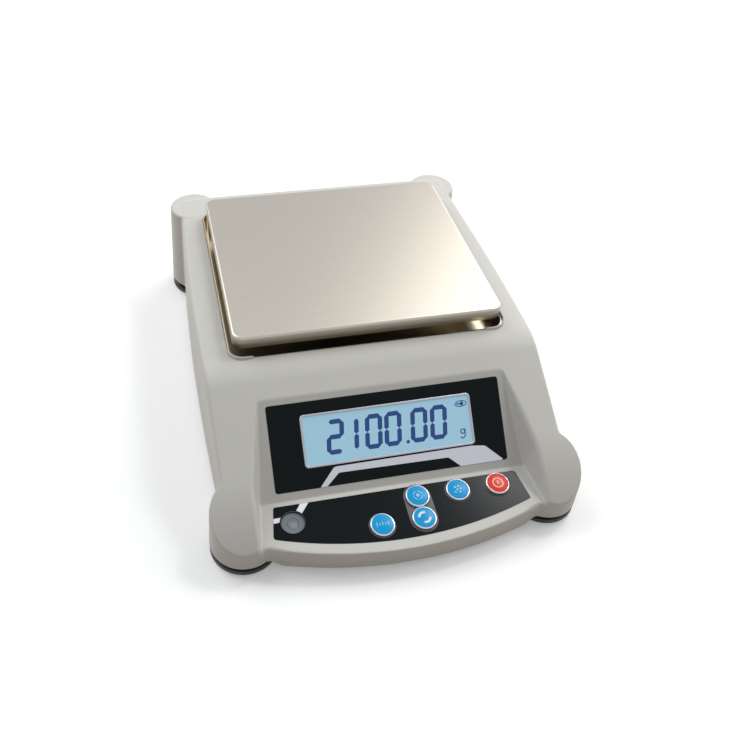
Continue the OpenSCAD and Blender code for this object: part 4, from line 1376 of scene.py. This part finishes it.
@dataclass
class Keypad:
    """Keypad film with its stripes, the plate round the button pair, buttons and level."""

    face: TiltedFace
    front_bow: float = 237.0
    crease_back: float = 38.8
    film_margin: float = 5.9
    film_top: float = 0.12
    top_s: float = 2.6
    top_half: float = 69.9
    low_half: float = 72.8
    corner_rounds: tuple[float, float, float, float] = (3.5, 1.0, 2.2, 1.4)
    key_hole: float = 6.85
    pair_radius: float = 7.9
    collar: float = 7.5
    collar_height: float = 0.5
    collar_gap: float = 30.0
    level_place: tuple[float, float] = (-60.9, 13.1)
    level_radius: float = 6.9
    places: dict[str, tuple[float, float]] = field(default_factory=lambda: {
        "calibrate": (-14.0, 23.4), "tare": (9.6, 23.4), "units": (9.6, 9.8),
        "count": (33.2, 9.8), "power": (56.8, 9.8)})

    def edge(self, x: Array) -> Array:
        """Distance of the film's bowed front edge from the crease."""
        bow = self.front_bow - self.film_margin
        return self.crease_back - self.film_margin - (bow - np.sqrt(bow**2 - x**2))

    def outline(self) -> Array:
        """Outline of the film: straight top, short slanted sides, bowed front, soft corners."""
        x = np.linspace(-self.low_half, self.low_half, 41)
        front = np.column_stack([x, self.edge(x)])
        front_left, front_right, back_right, back_left = self.corner_rounds
        corners = [(*front[0], front_left), *[(a, b, 0.01) for a, b in front[1:-1].tolist()],
                   (*front[-1], front_right), (self.top_half, self.top_s, back_right),
                   (-self.top_half, self.top_s, back_left)]
        ends = rounded_outline(corners, 4).reshape(len(corners), 5, 2)
        return np.concatenate([ends[0], ends[1:len(front) - 1, 0], *ends[len(front) - 1:]])

    def circle(self, place: tuple[float, float], radius: float, steps: int = 64) -> Array:
        """Outline of a round hole."""
        return np.array(arc(place, radius, 0, 360 - 360 / steps, steps - 1))

    def film(self) -> bpy.types.Object:
        """Black film with holes for the buttons and the level."""
        holes = [self.circle(p, self.key_hole) for p in self.places.values()]
        holes.append(self.circle(self.level_place, self.level_radius + 0.3))
        surface = plate(self.face, self.outline(), FILM_UNDERSIDE, self.film_top, holes)
        return add_piece("keypad_film_sheet", surface, FILM_BLACK, "housing",
                         "keypad_film")

    def stripes(self) -> None:
        """Two silver stripes that run into the level from the left and from above."""
        low, high = self.film_top - PRINT_SINK, self.film_top + PRINT_RISE
        left = np.array([(-70.9, 9.3), (-67.0, 9.15), (-67.6, 10.5), (-68.05, 11.9), (-71.3, 12.2)])
        upper = np.array([(-55.2, self.top_s + 0.1), (-50.4, self.top_s + 0.1), (-55.2, 8.6),
                          (-56.4, 7.4), (-57.9, 6.5)])
        for name, outline in (("keypad_left_stripe", left), ("keypad_upper_stripe", upper)):
            add_piece(name, plate(self.face, outline, low, high), FILM_SILVER, "housing")

    def pair_plate(self) -> bpy.types.Object:
        """Plate with round ends, round the two buttons in one column."""
        near, far = self.places["units"], self.places["tare"]
        r = self.pair_radius
        outline = np.array(arc(near, r, 180, 360, 24) + arc(far, r, 0, 180, 24))
        holes = [self.circle(place, self.key_hole) for place in (near, far)]
        surface = plate(self.face, outline, self.film_top - 0.1, 0.42, holes, 0.2)
        return add_piece("button_pair_plate_moulding", surface, PLATE_GREY, "housing",
                         "button_pair_plate")

    def collars(self) -> None:
        """Low dark collars round the buttons, with a gap where the two in one column meet.

        A cross-section of the collar is carried round its arc and capped at both ends.
        """
        low, high = self.film_top - 0.1, self.collar_height
        near, far = self.key_hole, self.collar
        section = np.array([(near, low), (far, low), (far, high - 0.32), (far - 0.1, high - 0.12),
                            (far - 0.3, high), (near + 0.15, high), (near, high - 0.1)])
        for name, (x, s) in self.places.items():
            start = {"units": 90.0, "tare": -90.0}.get(name, 0.0)
            gap = self.collar_gap if start else 0.0
            angle = np.radians(np.linspace(start + gap, start + 360 - gap, 73))[:, None]
            if not start:
                angle = angle[:-1]
            radius, height = section.T
            points = self.face.place(x + radius * np.cos(angle), s + radius * np.sin(angle), height)
            add_piece(name + "_button_collar", loft(points, not start), PLATE_GREY, "housing",
                      sharp=50)

    def buttons(self) -> None:
        """Five buttons, the last one red."""
        looks = {"calibrate": (Icon.MARKS, ICON_PALE), "tare": (Icon.CYCLE, ICON_WHITE),
                 "units": (Icon.TARGET, ICON_PALE), "count": (Icon.DOTS, ICON_PALE),
                 "power": (Icon.POWER, ICON_ROSE)}
        for name, (icon, ink) in looks.items():
            red = name == "power"
            Button(name, self.places[name], self.face, KEY_RED if red else KEY_BLUE,
                   "key_red" if red else "key_blue", icon, ink).build()

    def level(self) -> None:
        """Bubble level: a bezel, a clear domed vial, its circle and the bubble."""
        r = self.level_radius
        cup = [(0.2, -6.0), (r - 0.3, -6.0), (r, -5.7), (r, 0.1), (r - 0.12, 0.3), (r - 0.35, 0.3),
               (r - 0.5, 0.1), (r - 0.55, -1.5), (0.2, -1.5)]
        cup_surface = loft(self.face.stand(turned(cup, 72), self.level_place))
        add_piece("level_bezel", cup_surface, LEVEL_RING, "housing", "level_cup", 50)
        reach = np.linspace(0.1, r - 0.6, 11)
        dish = -1.1 + 0.3 * (reach / (r - 0.6)) ** 2
        vial = [*zip(reach, dish), (r - 0.6, -1.48), (0.1, -1.48)]
        vial_surface = loft(self.face.stand(turned(vial, 72), self.level_place))
        add_piece("level_vial_glass", vial_surface, LEVEL_FLUID, "housing",
                  "level_vial", 60)
        circle = [(3.0, -1.06), (3.2, -1.05), (3.2, -0.99), (3.0, -1.0)]
        circle_surface = loft(self.face.stand(turned(circle, 48), self.level_place), True)
        add_piece("level_circle", circle_surface, COMPONENT_BLACK, "housing")
        angle = np.linspace(0, math.pi / 2, 7)
        bubble = [*zip(2.1 * np.cos(angle) + 0.02, -1.05 + 0.3 * np.sin(angle))]
        rings = turned([(0.02, -1.1), (2.12, -1.1), *bubble], 40)
        rings[..., 1] += 1.6
        add_piece("level_bubble", loft(self.face.stand(rings, self.level_place)), BUBBLE,
                  "housing")

    def build(self) -> None:
        """Make every piece of the keypad."""
        self.film()
        self.stripes()
        self.pair_plate()
        self.collars()
        self.buttons()
        self.level()


@dataclass
class LevellingFoot:
    """Levelling wheel with its screw, and the rubber pad that it stands on."""

    corner: str
    place: tuple[float, float]
    wheel_radius: float = 18.9
    wheel_height: float = 3.2
    pad_radius: float = 12.0
    pad_height: float = 1.0
    edge_round: float = 0.5
    flutes: int = 72
    flute_depth: float = 0.22
    flutes_from: float = 4.0
    flutes_full: float = 1.0
    stud_radius: float = 3.0
    stud_length: float = 15.0

    def stand(self, rings: Array) -> Array:
        """Move turned rings to the foot's place."""
        return rings + np.array([*self.place, 0.0])

    def build(self) -> None:
        """Make the wheel and the pad."""
        r, low, high = self.wheel_radius, self.pad_height, self.pad_height + self.wheel_height
        e = self.edge_round
        stud = self.pad_height + self.stud_length
        profile = [(0.1, low), (r - e, low), (r - 0.15, low + 0.15), (r, low + e), (r, high - e),
                   (r - 0.15, high - 0.15), (r - e, high), (self.stud_radius, high),
                   (self.stud_radius, stud - 0.6), (self.stud_radius - 0.6, stud), (0.1, stud)]
        fluted = (r - self.flutes_from, r - self.flutes_full)
        rings = turned(profile, 360, self.flutes, self.flute_depth, fluted)
        add_piece(self.corner + "_levelling_wheel", loft(self.stand(rings)), WHEEL_BLACK,
                  self.corner + "_foot_wheel", self.corner + "_wheel", 40)
        r, high = self.pad_radius, self.pad_height
        profile = [(0.1, 0.0), (r - 0.3, 0.0), (r, 0.3), (r, high - 0.25), (r - 0.25, high),
                   (0.1, high)]
        add_piece(self.corner + "_rubber_pad", loft(self.stand(turned(profile, 72))), PAD_RUBBER,
                  self.corner + "_foot_pad", self.corner + "_pad", 40)


def dress_frame() -> None:
    """Give every node that stays in view its own finish."""
    looks = {
        "base_plate": BASE_STEEL, "well_liner": LINER_STEEL, "pan_support": CAST_METAL,
        "pan_cushions": PAD_RUBBER, "load_bracket": MILLED_METAL, "load_cell": MILLED_METAL,
        "load_cell_block": MILLED_METAL, "load_cell_screws": SCREW_STEEL,
        "bracket_screws": SCREW_STEEL, "overload_stops": BRASS, "lcd_backlight": GLOW_WHITE,
        "display_board": BOARD_GREEN, "key_switches": COMPONENT_BLACK,
        "keypad_board": BOARD_GREEN, "main_board": BOARD_GREEN,
        "board_components": COMPONENT_BLACK, "ribbon_cable": CABLE_GREY,
        "power_jack": JACK_BLACK, "housing_screws": SCREW_STEEL, "foot_inserts": BRASS,
    }
    for name, finish in looks.items():
        dress(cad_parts[name], finish)
        log.info("%s: frame node, %s", name, finish.name)


@dataclass
class Studio:
    """Pale floor, soft lamps, a plain sky and the camera of the photograph."""

    camera_place: tuple[float, float, float] = (-112.09, -354.92, 382.48)
    right: tuple[float, float, float] = (0.9761, -0.2135, 0.0416)
    up: tuple[float, float, float] = (0.1179, 0.6801, 0.7236)
    forward: tuple[float, float, float] = (0.1828, 0.7014, -0.689)
    lens: float = 38.4
    shift: tuple[float, float] = (0.0686, -0.0371)
    sky: float = 0.3
    floor_half: float = 6000.0

    def camera(self) -> None:
        """Camera with the photograph's place, turn, lens and framing."""
        data = bpy.data.cameras.new("camera")
        data.lens = self.lens
        data.sensor_width = 36.0
        data.shift_x, data.shift_y = self.shift
        data.clip_start, data.clip_end = 0.01, 50.0
        obj = bpy.data.objects.new("camera", data)
        axes = [Vector(self.right).normalized(), Vector(self.up).normalized(),
                -Vector(self.forward).normalized()]
        place = Vector(self.camera_place) * MM
        rows = [[*(axis[i] for axis in axes), place[i]] for i in range(3)]
        obj.matrix_world = Matrix([*rows, [0, 0, 0, 1]])
        bpy.context.scene.collection.objects.link(obj)
        bpy.context.scene.camera = obj

    def lamp(self, name: str, place: tuple[float, float, float], size: float, power: float,
             colour: str) -> None:
        """Soft square lamp that looks at the object.

        Args:
            name: Name of the lamp.
            place: Its place in metres.
            size: Side of its square in metres.
            power: Its power in watts.
            colour: Its colour as an sRGB hex value.
        """
        data = bpy.data.lights.new(name, "AREA")
        data.energy = power
        data.size = size
        data.color = linear(colour)[:3]
        obj = bpy.data.objects.new(name, data)
        obj.location = place
        obj.rotation_euler = (-Vector(place)).to_track_quat("-Z", "Y").to_euler()
        bpy.context.scene.collection.objects.link(obj)

    def seen(self, tree: bpy.types.NodeTree) -> bpy.types.NodeSocket:
        """Socket that is 1 where the camera, a reflection or a clear piece looks at a thing."""
        path = add_node(tree, "ShaderNodeLightPath")
        seen = path.outputs["Is Camera Ray"]
        for ray in ("Is Glossy Ray", "Is Transmission Ray"):
            links = {0: seen, 1: path.outputs[ray]}
            seen = add_node(tree, "ShaderNodeMath", None, links, operation="MAXIMUM").outputs[0]
        return seen

    def floor(self) -> None:
        """Pale floor that keeps the shadow, and stays white to the camera."""
        h = self.floor_half
        points = np.array([(-h, -h, 0), (h, -h, 0), (h, h, 0), (-h, h, 0)], float)
        obj = mesh_object("floor", points, [[0, 1, 2, 3]], outward=False)
        made = bpy.data.materials.new("plain_white_paper")
        made.use_nodes = True
        tree = made.node_tree
        tree.nodes.clear()
        paper = add_node(tree, "ShaderNodeBsdfDiffuse", {"Color": linear("F8F8F8")})
        glow = add_node(tree, "ShaderNodeEmission", {"Color": (1, 1, 1, 1), "Strength": 0.25})
        bright = add_node(
            tree, "ShaderNodeAddShader", None, {0: paper.outputs[0], 1: glow.outputs[0]})
        dull = add_node(tree, "ShaderNodeBsdfDiffuse", {"Color": linear("C4B9AD")})
        mixed = add_node(tree, "ShaderNodeMixShader", None,
                         {0: self.seen(tree), 1: dull.outputs[0], 2: bright.outputs[0]})
        add_node(tree, "ShaderNodeOutputMaterial", None, {"Surface": mixed.outputs[0]})
        obj.data.materials.append(made)

    def world(self) -> None:
        """Even sky, white where the camera or a reflection sees it."""
        world = bpy.data.worlds.new("plain_sky")
        world.use_nodes = True
        tree = world.node_tree
        tree.nodes.clear()
        strength = add_node(tree, "ShaderNodeMapRange", {"To Min": self.sky, "To Max": 1.0},
                            {"Value": self.seen(tree)})
        back = add_node(tree, "ShaderNodeBackground", {"Color": linear("F6F8FB")},
                        {"Strength": strength.outputs["Result"]})
        add_node(tree, "ShaderNodeOutputWorld", None, {"Surface": back.outputs[0]})
        bpy.context.scene.world = world

    def build(self) -> None:
        """Set the camera, the lamps, the floor and the sky."""
        bpy.context.scene.view_settings.view_transform = "Standard"
        self.camera()
        self.lamp("key_lamp", (-0.85, 0.85, 1.2), 1.2, 14.0, "FCFEFF")
        self.lamp("back_lamp", (1.75, 1.0, 1.27), 2.5, 42.0, "FFFFFD")
        self.lamp("small_lamp", (0.66, 0.42, 1.25), 0.22, 3.0, "FFFFFF")
        self.floor()
        self.world()


def main() -> None:
    """Build the balance from its housing outwards, then the studio."""
    logging.basicConfig(level=logging.INFO, format="%(name)s %(message)s")
    Studio().build()
    bay = Bay()
    keypad = Keypad(bay.keypad)
    holes = tuple((*place, keypad.key_hole + 0.3) for place in keypad.places.values())
    holes += ((*keypad.level_place, keypad.level_radius + 0.5),)
    housing = Housing(bay, round_holes=holes)
    housing.build()
    WeighingPan().build()
    Display(bay.display).build()
    keypad.build()
    for end, (x, y) in (("front", housing.front_lobe), ("rear", housing.rear_lobe)):
        LevellingFoot(end + "_left", (-x, y)).build()
        LevellingFoot(end + "_right", (x, y)).build()
    dress_frame()


if __name__ == "__main__":
    main()
